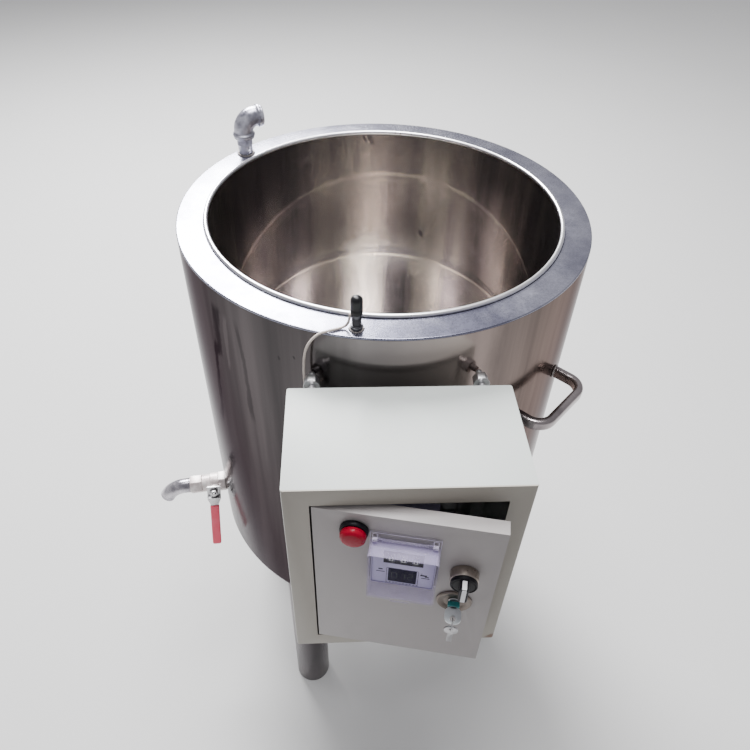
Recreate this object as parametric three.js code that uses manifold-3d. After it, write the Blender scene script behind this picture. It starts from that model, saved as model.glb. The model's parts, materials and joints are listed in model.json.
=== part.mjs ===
// Electric wax melter: an oil-jacketed steel pot on four legs, with a drain valve, two handles,
// a jacket vent, a temperature sensor and a control box with a hinged door.
// Millimetres, +Z up. The origin is the middle of the pot's floor, and the control box faces -Y.
import * as THREE from 'three';
import { mergeVertices } from 'three/addons/utils/BufferGeometryUtils.js';
import Module from 'manifold-3d';

const wasm = await Module();
wasm.setup();

// Driving dimensions in millimetres, angles in degrees.
// An azimuth is measured from the front (-Y) towards the right (+X), seen from above.
const GAP = 0.3; // clearance between pieces that touch
const RUN = 6; // how far a cutting shape passes the face that it cuts

const TANK = {
  potRadius: 240, potWall: 2, potDepth: 520, knuckle: 14, knuckleSteps: 3,
  beadRadius: 3, beadOffset: 1.5, beadRise: 1.4, beadSteps: 4,
  jacketWidth: 40, shellWall: 1.5, jacketFloor: 60,
  plateThickness: 3, rimThickness: 2, rimEdge: 1.8, facets: 64,
};
const LEG = { count: 4, firstAzimuth: -31, radius: 31.75, wall: 2, length: 365, endDisc: 3, facets: 16 };
const HANDLE = {
  azimuth: 45.6, drop: 167, width: 119, reach: 48, bend: 22,
  barThickness: 12, barHeight: 16, barRounding: 5, steps: 22,
};
const PIPE = { radius: 13.45, bore: 10.8, facets: 16 };
const DRAIN = {
  azimuth: -82, height: -22, outletInset: 35, elbow: 19.6, elbowSteps: 4, threadDepth: 7,
  hexStart: 2, hexLength: 12.5, hexAcross: 33,
  centreLength: 14.7, centreRadius: 17.5, shoulderLength: 14.8, shoulderRadius: 15.6,
  endLength: 20.3, endAcross: 30, waterway: 10, stemAt: 22,
};
const BALL = { radius: 13.6, cavity: 14.3, facets: 12 };
const STEM = { radius: 4, bossRadius: 9.5, bossReach: 19, nutAcross: 13, nutHeight: 6, spare: 3, slotDepth: 1.2 };
const LEVER = {
  thickness: 2.5, headWidth: 24, armWidth: 13, headDrop: 12, joggle: 7, flare: 9.6, taper: 18,
  length: 128, sleeveLength: 97, sleeveWidth: 16.5, sleeveThickness: 6.5, sleeveEnd: 3, rounding: 2.5,
  offStop: 5,
};
const SPOUT = { straight: 12, bend: 36, turn: 57, tail: 6, steps: 5, facets: 16 };
const VENT = {
  azimuth: -129.2, inset: 17, turn: 23, nippleRadius: 10.65, nippleBore: 8, nippleDip: 14, nippleRise: 25,
  bodyRadius: 14.2, collarRadius: 16.4, collarLength: 11, bend: 19, facets: 14, steps: 4,
};
const SENSOR = {
  azimuth: -9.9, inset: 15, probeRadius: 3, probeDepth: 120,
  collarRadius: 7, collarHeight: 5, threadRadius: 5.2, threads: 3, socketHeight: 21,
  bootRadius: 6.7, bootHeight: 23, bootDome: 6, facets: 14,
};
const LEAD = { radius: 1.5, steps: 44, sides: 6 };
// Points of the lead's route between the socket and the grommet: x, y and the drop below the rim's top.
const LEAD_ROUTE = [
  [-57.5, -260.3, -4], [-62.5, -261.6, -2], [-70, -264.3, -1.9], [-78, -267.5, -2.1], [-86, -271.2, -1.9],
  [-92.5, -274, 2], [-97.8, -275, 9], [-101.6, -274.6, 19], [-103.8, -273.6, 32], [-104.8, -272.9, 46],
  [-105, -272.6, 60], [-105, -272.9, 72], [-105, -274.6, 82], [-105, -278.8, 90], [-105, -284.6, 94.4],
  [-105, -291, 95],
];
const HEATER = {
  height: -28, bossRadius: 28, bossReach: 12, threadRadius: 24, headAcross: 52, headLength: 12,
  tubeRadius: 5, outerHalf: 17, innerHalf: 6, length: 400, steps: 14, tubeSides: 6,
  capRadius: 24, capWall: 2, capLength: 30, facets: 18,
};
const BOX = {
  middle: 2, clearance: 20.5, depth: 140, width: 250, drop: 51, height: 315, wall: 1.5, edge: 2.5,
  openingLeft: 26.5, openingRight: 25, openingTop: 24, openingBottom: 23,
};
const STUD = {
  spread: 96.5, drop: 11.5, radius: 4, inside: 12, holeRadius: 4.3, facets: 12,
  nutAcross: 16, nutLength: 11, flangeRadius: 9.5, flangeThickness: 2.5, standOff: 13,
};
const GROMMET = { inset: 18, drop: 44, radius: 5, flange: 8, flangeThickness: 2, standOff: 3.2, facets: 14 };
const GLAND = {
  powerX: 62, heaterX: 2, inset: 71.5, threadRadius: 8, hexAcross: 24, hexHeight: 6, domeRadius: 11,
  domeHeight: 12, inside: 9, bore: 4.5, facets: 14,
};
const DOOR = {
  sheet: 1.2, returnDepth: 16, hingeReturn: 9, proud: 1, ajar: 11.3,
  sideGap: 3, freeGap: 2, bottomGap: 2, topGap: 2,
};
const HINGE = {
  inset: 6, pinRadius: 2, knuckleRadius: 3.8, knuckleHeight: 14, webHalf: 1.5,
  pinLength: 22, bracketThickness: 3, bracketReach: 14, facets: 12,
};
const PLATE = { width: 206, inset: 28.5, thickness: 1.5, standOff: 6, bossRadius: 5, bossInset: 14, facets: 10 };
const RAIL = { length: 176, drop: 78, height: 35, crown: 27, depth: 7.5, wall: 1, centre: -4 };
const CONTACTOR = {
  x: -48, width: 45, height: 76, depth: 62, head: 46, headDepth: 10, stepHeight: 15, stepDepth: 20,
  screw: 3, screwPitch: 13, screwDepth: 3,
};
const TERMINALS = { x: 34, count: 8, pitch: 9, height: 44, depth: 46, slot: 1.2, slotDepth: 30, funnel: 3, funnelDepth: 6 };
const LAMP = {
  u: 43.4, drop: 26, bezelRadius: 14.8, bezelHeight: 6, bezelChamfer: 2, bodyRadius: 11, bodyLength: 36,
  lensRadius: 13.4, lensHeight: 10, lensDome: 5, nutAcross: 27, nutHeight: 4, facets: 20,
};
const CONTROL = {
  u: 95.4, drop: 72, front: 67, frontHeight: 6, caseWidth: 62, caseDepth: 55, frameWidth: 1.2, faceRecess: 0.6,
  faceThickness: 1.2, faceGap: 0.3, corner: 3,
  displayWidth: 30, displayHeight: 25, displayRise: 3.8, displayThickness: 2,
  wheelCount: 3, wheelPitch: 12.5, wheelRadius: 11, wheelWidth: 6, wheelAxle: 1.6, wheelStub: 2, wheelRise: 17,
  wheelSink: 8.6, wheelFacets: 20, notch: 0.9,
};
const COVER = {
  sideGap: 0.5, endGap: 4, depth: 21, wall: 1.5, corner: 3, baseThickness: 2, baseBorder: 0.5, baseTop: 9,
  pinRadius: 1.5, earWidth: 5, earRadius: 3.2, pivotOut: 3.6, pivotUp: 3.8, tab: 10, tabReach: 3,
};
const SELECTOR = {
  u: 158.9, drop: 77, bezelRadius: 15, bezelInner: 12.6, bezelHeight: 15.4, bezelChamfer: 1.5, threadRadius: 11,
  discRadius: 12.2, discSink: 1, shaftRadius: 4, leverLength: 24, leverWidth: 9.5, leverHeight: 11.5,
  leverTaper: 1.2, blockWidth: 30, blockHeight: 42, blockDepth: 40, blockStart: 7, facets: 20,
};
const LOCK = {
  u: 153.8, drop: 134, plateRadius: 19.5, plateThickness: 3.4, dish: 1.8, bodyRadius: 9.5, bodyLength: 20,
  plugRadius: 6, plugFace: 2.2, keywayWidth: 8, keywayThickness: 2.8, camLength: 50, camWidth: 14,
  camThickness: 2, camHole: 3, camBoss: 3, facets: 20,
};
const KEY = {
  bladeWidth: 7.2, thickness: 2.2, bladeDepth: 15, collarWidth: 13, collarThickness: 6, collarLength: 6,
  shoulder: 3, bowStart: 9, bowLength: 19, bowWidth: 18, holeRadius: 3.4, holeFromEnd: 6, rounding: 8.5,
};
const RING = { radius: 7, wire: 0.7, sides: 6, facets: 20, drop: 4.8, outward: 4.7 };
const SPARE = {
  length: 34, bowWidth: 15, bowLength: 14, bladeWidth: 6, thickness: 2, holeRadius: 2, holeFromEnd: 4, rounding: 6,
  slack: 0.9,
};

// Heights and places that several pieces share.
const rimTop = TANK.potDepth;
const shellBottom = -TANK.jacketFloor;
const shellRadius = TANK.potRadius + TANK.jacketWidth;
const shellInner = shellRadius - TANK.shellWall;
const outletRadius = TANK.potRadius - DRAIN.outletInset;
const boxLeft = BOX.middle - BOX.width / 2;
const boxBack = -shellRadius - BOX.clearance;
const boxFront = boxBack - BOX.depth;
const boxTop = rimTop - BOX.drop;
const boxBottom = boxTop - BOX.height;
const openingX = [boxLeft + BOX.openingLeft, boxLeft + BOX.width - BOX.openingRight];
const openingZ = [boxBottom + BOX.openingBottom, boxTop - BOX.openingTop];
const grommetX = boxLeft + GROMMET.inset;
const hingeX = openingX[0] + DOOR.sideGap + HINGE.inset;
const hingeY = boxFront - DOOR.proud + HINGE.inset;
const doorBottom = openingZ[0] + DOOR.bottomGap;
const doorHeight = openingZ[1] - DOOR.topGap - doorBottom;
const doorWidth = openingX[1] - openingX[0] - DOOR.sideGap - DOOR.freeGap;

// Finishes.
const finish = (color, roughness, metalness) => new THREE.MeshStandardMaterial({ color, roughness, metalness });
const polishedSteel = finish(0x9c9491, 0.2, 1);
const satinSteel = finish(0xc9cacc, 0.35, 1);
const darkSteel = finish(0x5a5052, 0.3, 1);
const castSteel = finish(0xb9b0ae, 0.4, 0.9);
const zincSteel = finish(0xc4c6c8, 0.35, 0.9);
const paleCoat = finish(0xcfd6d2, 0.55, 0);
const redVinyl = finish(0xe0455a, 0.4, 0);
const redLens = finish(0xc3152a, 0.2, 0);
const blackPlastic = finish(0x17171a, 0.45, 0);
const lilacPlastic = finish(0xb9b6d0, 0.45, 0);
const screenGlass = finish(0x1c1a26, 0.15, 0);
const clearPlastic = new THREE.MeshStandardMaterial({
  color: 0xd8d4e4, roughness: 0.1, metalness: 0, transparent: true, opacity: 0.35,
});
const greyPlastic = finish(0xb4b6b4, 0.5, 0);
const bronzeMetal = finish(0x9a8f80, 0.4, 0.8);
const tealPlastic = finish(0x1f7d7c, 0.45, 0);
const paleSheath = finish(0xcfc3bd, 0.6, 0);
const brass = finish(0xb08d4f, 0.35, 0.9);
const rubber = finish(0x202022, 0.8, 0);

// Solid modelling helpers.
const rad = THREE.MathUtils.degToRad;
const polar = (azimuth, radius, z) =>
  new THREE.Vector3(radius * Math.sin(rad(azimuth)), -radius * Math.cos(rad(azimuth)), z);

// Merges a geometry to bare positions and turns it so that its faces point out.
function body(geometry) {
  const bare = geometry.clone();
  for (const name of Object.keys(bare.attributes)) {
    if (name !== 'position') bare.deleteAttribute(name);
  }
  const merged = mergeVertices(bare, 1e-4);
  const p = merged.attributes.position;
  const faces = [];
  let volume = 0;
  const [a, b, c] = [new THREE.Vector3(), new THREE.Vector3(), new THREE.Vector3()];
  for (let i = 0; i < merged.index.count; i += 3) {
    const corner = [0, 1, 2].map((k) => merged.index.getX(i + k));
    if (new Set(corner).size < 3) continue;
    faces.push(corner);
    a.fromBufferAttribute(p, corner[0]);
    b.fromBufferAttribute(p, corner[1]);
    c.fromBufferAttribute(p, corner[2]);
    volume += a.dot(b.cross(c));
  }
  const order = volume < 0 ? ([i, j, k]) => [i, k, j] : (corner) => corner;
  merged.setIndex(faces.flatMap(order));
  return merged;
}

function toSolid(geometry) {
  const closed = body(geometry);
  return new wasm.Manifold(new wasm.Mesh({
    numProp: 3,
    vertProperties: new Float32Array(closed.attributes.position.array),
    triVerts: new Uint32Array(closed.index.array),
  }));
}

function toGeometry(solid) {
  const mesh = solid.getMesh();
  const geometry = new THREE.BufferGeometry();
  const places = new Float32Array(mesh.numVert * 3);
  for (let i = 0; i < mesh.numVert; i++) {
    places.set(mesh.vertProperties.subarray(i * mesh.numProp, i * mesh.numProp + 3), i * 3);
  }
  geometry.setAttribute('position', new THREE.BufferAttribute(places, 3));
  geometry.setIndex(new THREE.BufferAttribute(mesh.triVerts, 1));
  return geometry;
}

const join = (...geometries) => toGeometry(geometries.map(toSolid).reduce((sum, next) => sum.add(next)));
const cut = (base, ...tools) =>
  toGeometry(tools.map(toSolid).reduce((left, tool) => left.subtract(tool), toSolid(base)));
const keepInside = (base, tool) => toGeometry(toSolid(base).intersect(toSolid(tool)));

// A revolved body. The profile lists [radius, distance along the axis] pairs and closes on itself.
function revolve(profile, facets, axis = 'z') {
  const points = profile.map(([r, h]) => new THREE.Vector2(r, h));
  points.push(points[0].clone());
  const geometry = new THREE.LatheGeometry(points, facets);
  if (axis === 'z') geometry.rotateX(Math.PI / 2);
  if (axis === 'x') geometry.rotateZ(-Math.PI / 2);
  return body(geometry);
}

const rod = (radius, from, to, facets, axis = 'z') =>
  revolve([[0, from], [radius, from], [radius, to], [0, to]], facets, axis);
const tube = (radius, bore, from, to, facets, axis = 'z') =>
  revolve([[bore, from], [radius, from], [radius, to], [bore, to]], facets, axis);

// A hexagonal bar, given across its flats.
function hexBar(across, from, to, axis = 'z') {
  const corner = across / Math.sqrt(3);
  return rod(corner, from, to, 6, axis);
}

// A box between two corners.
function block(x, y, z) {
  const size = [x, y, z].map(([low, high]) => high - low);
  const geometry = new THREE.BoxGeometry(...size);
  geometry.translate(...[x, y, z].map(([low, high]) => (low + high) / 2));
  return body(geometry);
}

// Points of an arc, angles in degrees.
function arc(x, y, radius, from, to, steps) {
  return Array.from({ length: steps + 1 }, (_, i) => {
    const angle = rad(from + ((to - from) * i) / steps);
    return [x + radius * Math.cos(angle), y + radius * Math.sin(angle)];
  });
}

// A rectangle with round corners, centred on (x, y).
function roundedRectangle(width, height, radius, x = 0, y = 0, steps = 3) {
  const [w, h] = [width / 2 - radius, height / 2 - radius];
  const points = [
    ...arc(x + w, y + h, radius, 0, 90, steps), ...arc(x - w, y + h, radius, 90, 180, steps),
    ...arc(x - w, y - h, radius, 180, 270, steps), ...arc(x + w, y - h, radius, 270, 360, steps),
  ];
  return new THREE.Shape(points.map(([px, py]) => new THREE.Vector2(px, py)));
}

const polygon = (points) => new THREE.Shape(points.map(([x, y]) => new THREE.Vector2(x, y)));

// A straight extrusion of a shape between two heights along +Z.
function prism(shape, from, to) {
  const geometry = new THREE.ExtrudeGeometry(shape, { depth: to - from, bevelEnabled: false });
  geometry.translate(0, 0, from);
  return body(geometry);
}

// A section swept along a curve.
function sweep(shape, path, steps) {
  return body(new THREE.ExtrudeGeometry(shape, { steps, extrudePath: path, bevelEnabled: false }));
}

const circle = (radius, sides) => polygon(arc(0, 0, radius, 0, 360, sides).slice(0, sides));

// A path of straight and round stretches in one plane, as a curve with even steps.
class PlanePath extends THREE.Curve {
  constructor(points) {
    super();
    this.points = points;
    this.ends = [0];
    for (let i = 1; i < points.length; i++) {
      this.ends.push(this.ends[i - 1] + points[i].distanceTo(points[i - 1]));
    }
  }

  getPoint(t, target = new THREE.Vector3()) {
    const reach = t * this.ends[this.ends.length - 1];
    let i = 1;
    while (i < this.ends.length - 1 && this.ends[i] < reach) i++;
    const share = (reach - this.ends[i - 1]) / (this.ends[i] - this.ends[i - 1]);
    return target.lerpVectors(this.points[i - 1], this.points[i], share);
  }
}

const root = new THREE.Group();

function add(group, name, geometry, material) {
  const mesh = new THREE.Mesh(body(geometry), material);
  mesh.name = name;
  group.add(mesh);
  return mesh;
}

// A group whose +X points out of the tank at an azimuth.
function radialGroup(azimuth, z) {
  const group = new THREE.Group();
  group.position.z = z;
  group.rotation.z = rad(azimuth - 90);
  root.add(group);
  return group;
}

// Pot, jacket and rim.
function buildTank() {
  const { potRadius: r, potWall: t, knuckle: k, beadRadius: b } = TANK;
  const bead = [r + TANK.beadOffset, rimTop + TANK.beadRise];
  const innerMeet = THREE.MathUtils.radToDeg(Math.acos(TANK.beadOffset / b));
  const outerMeet = THREE.MathUtils.radToDeg(Math.acos((t - TANK.beadOffset) / b));
  const steps = TANK.knuckleSteps;
  const wallProfile = [
    ...arc(r - k, k, k, -90, 0, steps),
    ...arc(...bead, b, 180 + innerMeet, -outerMeet, TANK.beadSteps),
    ...arc(r - k, k, k + t, 0, -90, steps),
  ];
  add(root, 'inner_pot', revolve(wallProfile, TANK.facets), polishedSteel);
  // The floor is a disc let into the wall's turned foot. Its outlet is beside the wall, and the drain pipe
  // leaves under it.
  const outlet = polar(DRAIN.azimuth, outletRadius, 0);
  const drainHole = rod(PIPE.bore, -RUN, RUN, PIPE.facets).translate(outlet.x, outlet.y, 0);
  add(root, 'pot_floor', cut(rod(r - k - GAP, -t, 0, TANK.facets), drainHole), polishedSteel);

  const shellTop = rimTop - TANK.rimThickness - GAP;
  const shell = tube(shellRadius, shellInner, shellBottom + TANK.plateThickness + GAP, shellTop, TANK.facets);
  const bossEnd = shellRadius + HEATER.bossReach;
  const boss = rod(HEATER.bossRadius, shellInner - TANK.shellWall, bossEnd, HEATER.facets, 'x');
  const heaterAt = { azimuth: 0, height: HEATER.height };
  const shellSpace = [shellInner - RUN * RUN, bossEnd + RUN];
  const drainPass = radialCut(rod(PIPE.radius + GAP, ...shellSpace, PIPE.facets, 'x'), DRAIN);
  const heaterPass = radialCut(rod(HEATER.threadRadius + GAP, ...shellSpace, HEATER.facets, 'x'), heaterAt);
  add(root, 'outer_shell', cut(join(shell, radialCut(boss, heaterAt)), drainPass, heaterPass), polishedSteel);

  const ringInner = bead[0] + b + GAP;
  const edge = TANK.rimEdge;
  const ringProfile = [
    [ringInner, rimTop - TANK.rimThickness],
    [shellRadius, rimTop - TANK.rimThickness],
    ...arc(shellRadius - edge, rimTop - edge, edge, 0, 90, 2),
    [ringInner, rimTop],
  ];
  const passes = [
    [polar(VENT.azimuth, shellRadius - VENT.inset, 0), VENT.nippleRadius],
    [polar(SENSOR.azimuth, shellRadius - SENSOR.inset, 0), SENSOR.probeRadius],
  ].map(([place, radius]) =>
    rod(radius + GAP, rimTop - RUN, rimTop + RUN, PIPE.facets).translate(place.x, place.y, 0));
  add(root, 'rim_ring', cut(revolve(ringProfile, TANK.facets), ...passes), satinSteel);

  add(root, 'base_plate', rod(shellRadius, shellBottom, shellBottom + TANK.plateThickness, TANK.facets), darkSteel);
}

// Turns a tool that was made along +X to a fitting's azimuth and height.
function radialCut(geometry, fitting) {
  return geometry.rotateZ(rad(fitting.azimuth - 90)).translate(0, 0, fitting.height);
}

// Legs stand under the shell's edge, each a tube with a closed end.
function buildLegs() {
  const top = shellBottom - GAP;
  const foot = top - LEG.length;
  const profile = [
    [0, foot], [LEG.radius, foot], [LEG.radius, top], [LEG.radius - LEG.wall, top],
    [LEG.radius - LEG.wall, foot + LEG.endDisc], [0, foot + LEG.endDisc],
  ];
  for (let i = 0; i < LEG.count; i++) {
    const place = polar(LEG.firstAzimuth + (360 / LEG.count) * i, shellRadius - LEG.radius, 0);
    add(root, `leg_${i + 1}`, revolve(profile, LEG.facets), darkSteel).position.copy(place);
  }
}

// Two bent bar handles, one on each side.
function buildHandles() {
  const { barThickness: t, bend } = HANDLE;
  const half = HANDLE.width / 2 - t / 2;
  const start = shellRadius - HANDLE.bend;
  const out = shellRadius + HANDLE.reach - t / 2;
  const track = [
    [start, half], ...arc(out - bend, half - bend, bend, 90, 0, 6),
    ...arc(out - bend, bend - half, bend, 0, -90, 6), [start, -half],
  ].map(([x, y]) => new THREE.Vector3(x, y, 0));
  const bar = sweep(roundedRectangle(HANDLE.barHeight, t, HANDLE.barRounding, 0, 0, 2),
    new PlanePath(track), HANDLE.steps);
  const shell = rod(shellRadius + GAP, -HANDLE.barHeight, HANDLE.barHeight, TANK.facets);
  const sides = { handle_right: HANDLE.azimuth, handle_left: HANDLE.azimuth + 180 };
  for (const [name, azimuth] of Object.entries(sides)) {
    const turned = bar.clone().rotateZ(rad(azimuth - 90));
    add(root, name, cut(turned, shell).translate(0, 0, rimTop - HANDLE.drop), darkSteel);
  }
}

// The jacket's vent: a nipple through the rim with a threaded elbow on it.
function buildVent() {
  const group = new THREE.Group();
  group.position.copy(polar(VENT.azimuth, shellRadius - VENT.inset, rimTop));
  group.rotation.z = rad(VENT.turn);
  root.add(group);
  const collar = VENT.collarLength;
  const start = VENT.nippleRise;
  add(group, 'vent_nipple',
    tube(VENT.nippleRadius, VENT.nippleBore, -VENT.nippleDip, start + collar - GAP, VENT.facets), castSteel);
  const centre = start + collar;
  const bendPoints = (extra) => [
    new THREE.Vector3(0, 0, start + collar / 2 - extra),
    ...arc(VENT.bend, centre, VENT.bend, 180, 90, VENT.steps).map(([x, z]) => new THREE.Vector3(x, 0, z)),
    new THREE.Vector3(VENT.bend + collar / 2 + extra, 0, centre + VENT.bend),
  ];
  const outside = sweep(circle(VENT.bodyRadius, VENT.facets), new PlanePath(bendPoints(0)), VENT.steps * 2);
  const bore = sweep(circle(VENT.nippleRadius + GAP, VENT.facets), new PlanePath(bendPoints(collar)), VENT.steps * 3);
  const lower = rod(VENT.collarRadius, start, start + collar, VENT.facets);
  const mouth = rod(VENT.collarRadius, VENT.bend, VENT.bend + collar, VENT.facets, 'x')
    .translate(0, 0, centre + VENT.bend);
  add(group, 'vent_elbow', cut(join(outside, lower, mouth), bore), castSteel);
}

// The temperature sensor in the jacket, with its lead to the control box.
function buildSensor() {
  const group = new THREE.Group();
  const place = polar(SENSOR.azimuth, shellRadius - SENSOR.inset, rimTop);
  group.position.copy(place);
  root.add(group);
  const { probeRadius, threadRadius, collarHeight, socketHeight, bootRadius, facets } = SENSOR;
  add(group, 'sensor_probe', rod(probeRadius, -SENSOR.probeDepth, socketHeight - GAP, facets), zincSteel);
  const threads = Array.from({ length: SENSOR.threads }, (_, i) => {
    const share = (socketHeight - collarHeight) / SENSOR.threads;
    const z = collarHeight + share * i;
    return [[threadRadius, z], [threadRadius - GAP, z + share / 2]];
  }).flat();
  add(group, 'sensor_socket', revolve([
    [probeRadius + GAP, GAP], [SENSOR.collarRadius, GAP], [SENSOR.collarRadius, collarHeight],
    ...threads, [threadRadius, socketHeight], [probeRadius + GAP, socketHeight],
  ], facets), zincSteel);
  const bootTop = socketHeight + GAP + SENSOR.bootHeight;
  const dome = arc(bootRadius - SENSOR.bootDome, bootTop - SENSOR.bootDome, SENSOR.bootDome, 0, 90, 4);
  add(group, 'sensor_boot', revolve([
    [0, socketHeight + GAP], [bootRadius, socketHeight + GAP], ...dome, [0, bootTop],
  ], facets), rubber);

  // The lead's route: out from under the boot, along the rim, over the edge and down behind the box.
  const edge = place.x - Math.max(bootRadius, threadRadius + LEAD.radius) - GAP * 1.5;
  const down = (drop) => rimTop - drop;
  const lead = [
    [edge, place.y, rimTop + socketHeight], [edge - LEAD.radius / 4, place.y, rimTop + socketHeight * 0.76],
    [edge - LEAD.radius * 1.4, place.y, rimTop + socketHeight * 0.43], ...LEAD_ROUTE.map(([x, y, drop]) => [x, y, down(drop)]),
    [grommetX, boxBack + GROMMET.standOff + GAP, boxTop - GROMMET.drop],
  ].map(([x, y, z]) => new THREE.Vector3(x, y, z));
  add(root, 'sensor_lead',
    sweep(circle(LEAD.radius, LEAD.sides), new THREE.CatmullRomCurve3(lead), LEAD.steps), paleSheath);
}

// The drain: an elbow and pipe from the pot's floor, a ball valve and a bent spout.
// In this group +X runs out along the pipe and +Y is the front.
function buildDrain() {
  const group = radialGroup(DRAIN.azimuth, DRAIN.height);
  const hexStart = shellRadius + DRAIN.hexStart;
  const hexEnd = hexStart + DRAIN.hexLength;
  const shoulder = hexEnd + DRAIN.centreLength;
  const bodyEnd = shoulder + DRAIN.shoulderLength;
  const endStart = bodyEnd + GAP;
  const endEnd = endStart + DRAIN.endLength;
  const pipeEnd = hexStart + DRAIN.threadDepth;
  const ballX = hexStart + DRAIN.stemAt;

  // The pipe's path starts under the pot's floor and turns from down to outwards.
  const floorGap = -TANK.potWall - GAP - DRAIN.height;
  const pipePath = (extra) => {
    const { elbow, elbowSteps } = DRAIN;
    return new PlanePath([
      [outletRadius, floorGap + extra], ...arc(outletRadius + elbow, elbow, elbow, 180, 270, elbowSteps),
      [pipeEnd - GAP + extra, 0],
    ].map(([x, z]) => new THREE.Vector3(x, 0, z)));
  };
  const pipeSteps = DRAIN.elbowSteps * 3;
  add(group, 'drain_pipe', cut(
    sweep(circle(PIPE.radius, PIPE.facets), pipePath(0), pipeSteps),
    sweep(circle(PIPE.bore, PIPE.facets), pipePath(RUN), pipeSteps)), satinSteel);

  const barrel = revolve([
    [0, hexEnd - RUN], [DRAIN.centreRadius, hexEnd - RUN / 2], [DRAIN.centreRadius, shoulder],
    [DRAIN.shoulderRadius, shoulder + GAP], [DRAIN.shoulderRadius, bodyEnd], [0, bodyEnd],
  ], PIPE.facets, 'x');
  const hex = hexBar(DRAIN.hexAcross, hexStart, hexEnd, 'x');
  const boss = rod(STEM.bossRadius, 0, STEM.bossReach, PIPE.facets, 'y').translate(ballX, 0, 0);
  const cavity = new THREE.SphereGeometry(BALL.cavity, BALL.facets, BALL.facets / 2).translate(ballX, 0, 0);
  const waterway = rod(DRAIN.waterway, hexStart - RUN, bodyEnd + RUN, PIPE.facets, 'x');
  const thread = rod(PIPE.radius + GAP, hexStart - RUN, pipeEnd, PIPE.facets, 'x');
  const stemHole = rod(STEM.radius + GAP, 0, STEM.bossReach + RUN, PIPE.facets, 'y').translate(ballX, 0, 0);
  add(group, 'valve_body', cut(join(barrel, hex, boss), cavity, waterway, thread, stemHole), castSteel);

  const spoutSeat = endEnd - DRAIN.threadDepth;
  add(group, 'valve_end', cut(hexBar(DRAIN.endAcross, endStart, endEnd, 'x'),
    rod(DRAIN.waterway, endStart - RUN, endEnd + RUN, PIPE.facets, 'x'),
    rod(PIPE.radius + GAP, spoutSeat, endEnd + RUN, PIPE.facets, 'x')), castSteel);

  // The spout bends down, so its path lies in the X-Z plane.
  const bendStart = endEnd + SPOUT.straight;
  const spoutPath = (extra) => {
    const bendPoints = arc(bendStart, -SPOUT.bend, SPOUT.bend, 90, 90 - SPOUT.turn, SPOUT.steps);
    const [endX, endZ] = bendPoints[bendPoints.length - 1];
    const tail = SPOUT.tail + extra;
    const last = [endX + tail * Math.cos(rad(SPOUT.turn)), endZ - tail * Math.sin(rad(SPOUT.turn))];
    return new PlanePath([[spoutSeat + GAP - extra, 0], ...bendPoints, last]
      .map(([x, z]) => new THREE.Vector3(x, 0, z)));
  };
  add(group, 'spout', cut(
    sweep(circle(PIPE.radius, SPOUT.facets), spoutPath(0), SPOUT.steps * 2),
    sweep(circle(PIPE.bore, SPOUT.facets), spoutPath(RUN), SPOUT.steps * 2)), castSteel);

  // The turning group: ball, stem, nut, lever and sleeve. Closed, the lever hangs down beside its stop.
  const turning = new THREE.Group();
  turning.position.x = ballX;
  turning.rotation.y = -rad(LEVER.offStop);
  group.add(turning);
  const ball = new THREE.SphereGeometry(BALL.radius, BALL.facets, BALL.facets / 2);
  const slot = block([-STEM.slotDepth - GAP, STEM.slotDepth + GAP],
    [BALL.radius - STEM.radius, BALL.radius + RUN], [-BALL.radius, BALL.radius]);
  add(turning, 'valve_ball', cut(ball, slot,
    rod(DRAIN.waterway - GAP, -BALL.radius - RUN, BALL.radius + RUN, PIPE.facets)), polishedSteel);

  const { thickness: t, headWidth, armWidth, headDrop, joggle, length, taper } = LEVER;
  const armStart = STEM.bossReach + GAP;
  const nutStart = armStart + t + GAP;
  const nutEnd = nutStart + STEM.nutHeight;
  const tang = block([-STEM.slotDepth, STEM.slotDepth],
    [BALL.radius - STEM.radius + GAP, BALL.cavity + RUN / 2], [-STEM.radius / 2, STEM.radius / 2]);
  add(turning, 'valve_stem',
    join(rod(STEM.radius, BALL.cavity + GAP, nutEnd + STEM.spare, PIPE.facets, 'y'), tang), zincSteel);
  add(turning, 'lever_nut', cut(hexBar(STEM.nutAcross, nutStart, nutEnd, 'y'),
    rod(STEM.radius + GAP, nutStart - RUN, nutEnd + RUN, PIPE.facets, 'y')), zincSteel);

  // The lever is a bent strip. Its side view gives the joggle and the flare, its front view the taper.
  const outwards = armStart + t + joggle;
  const armEnd = length - LEVER.sleeveEnd;
  const slant = Math.tan(rad(LEVER.flare));
  const flareAt = (drop) => (drop - headDrop - t) * slant;
  const side = polygon([
    [armStart, headWidth / 2], [armStart + t, headWidth / 2], [armStart + t, -headDrop],
    [outwards, -headDrop], [outwards, -headDrop - t], [outwards + flareAt(armEnd), -armEnd],
    [outwards - t + flareAt(armEnd), -armEnd],
    [outwards - t, -headDrop - t], [armStart, -headDrop - t],
  ]);
  const front = polygon([
    [headWidth / 2, headWidth / 2], [headWidth / 2, -headDrop - t], [armWidth / 2, -headDrop - taper],
    [armWidth / 2, -length], [-armWidth / 2, -length], [-armWidth / 2, -headDrop - taper],
    [-headWidth / 2, -headDrop - t], [-headWidth / 2, headWidth / 2],
  ]);
  const outline = prism(front, -outwards - length, 0).rotateX(Math.PI / 2);
  add(turning, 'lever_arm', cut(keepInside(layStrip(side, headWidth), outline),
    rod(STEM.radius + GAP, armStart - RUN, armStart + t + RUN, PIPE.facets, 'y')), zincSteel);

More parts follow.
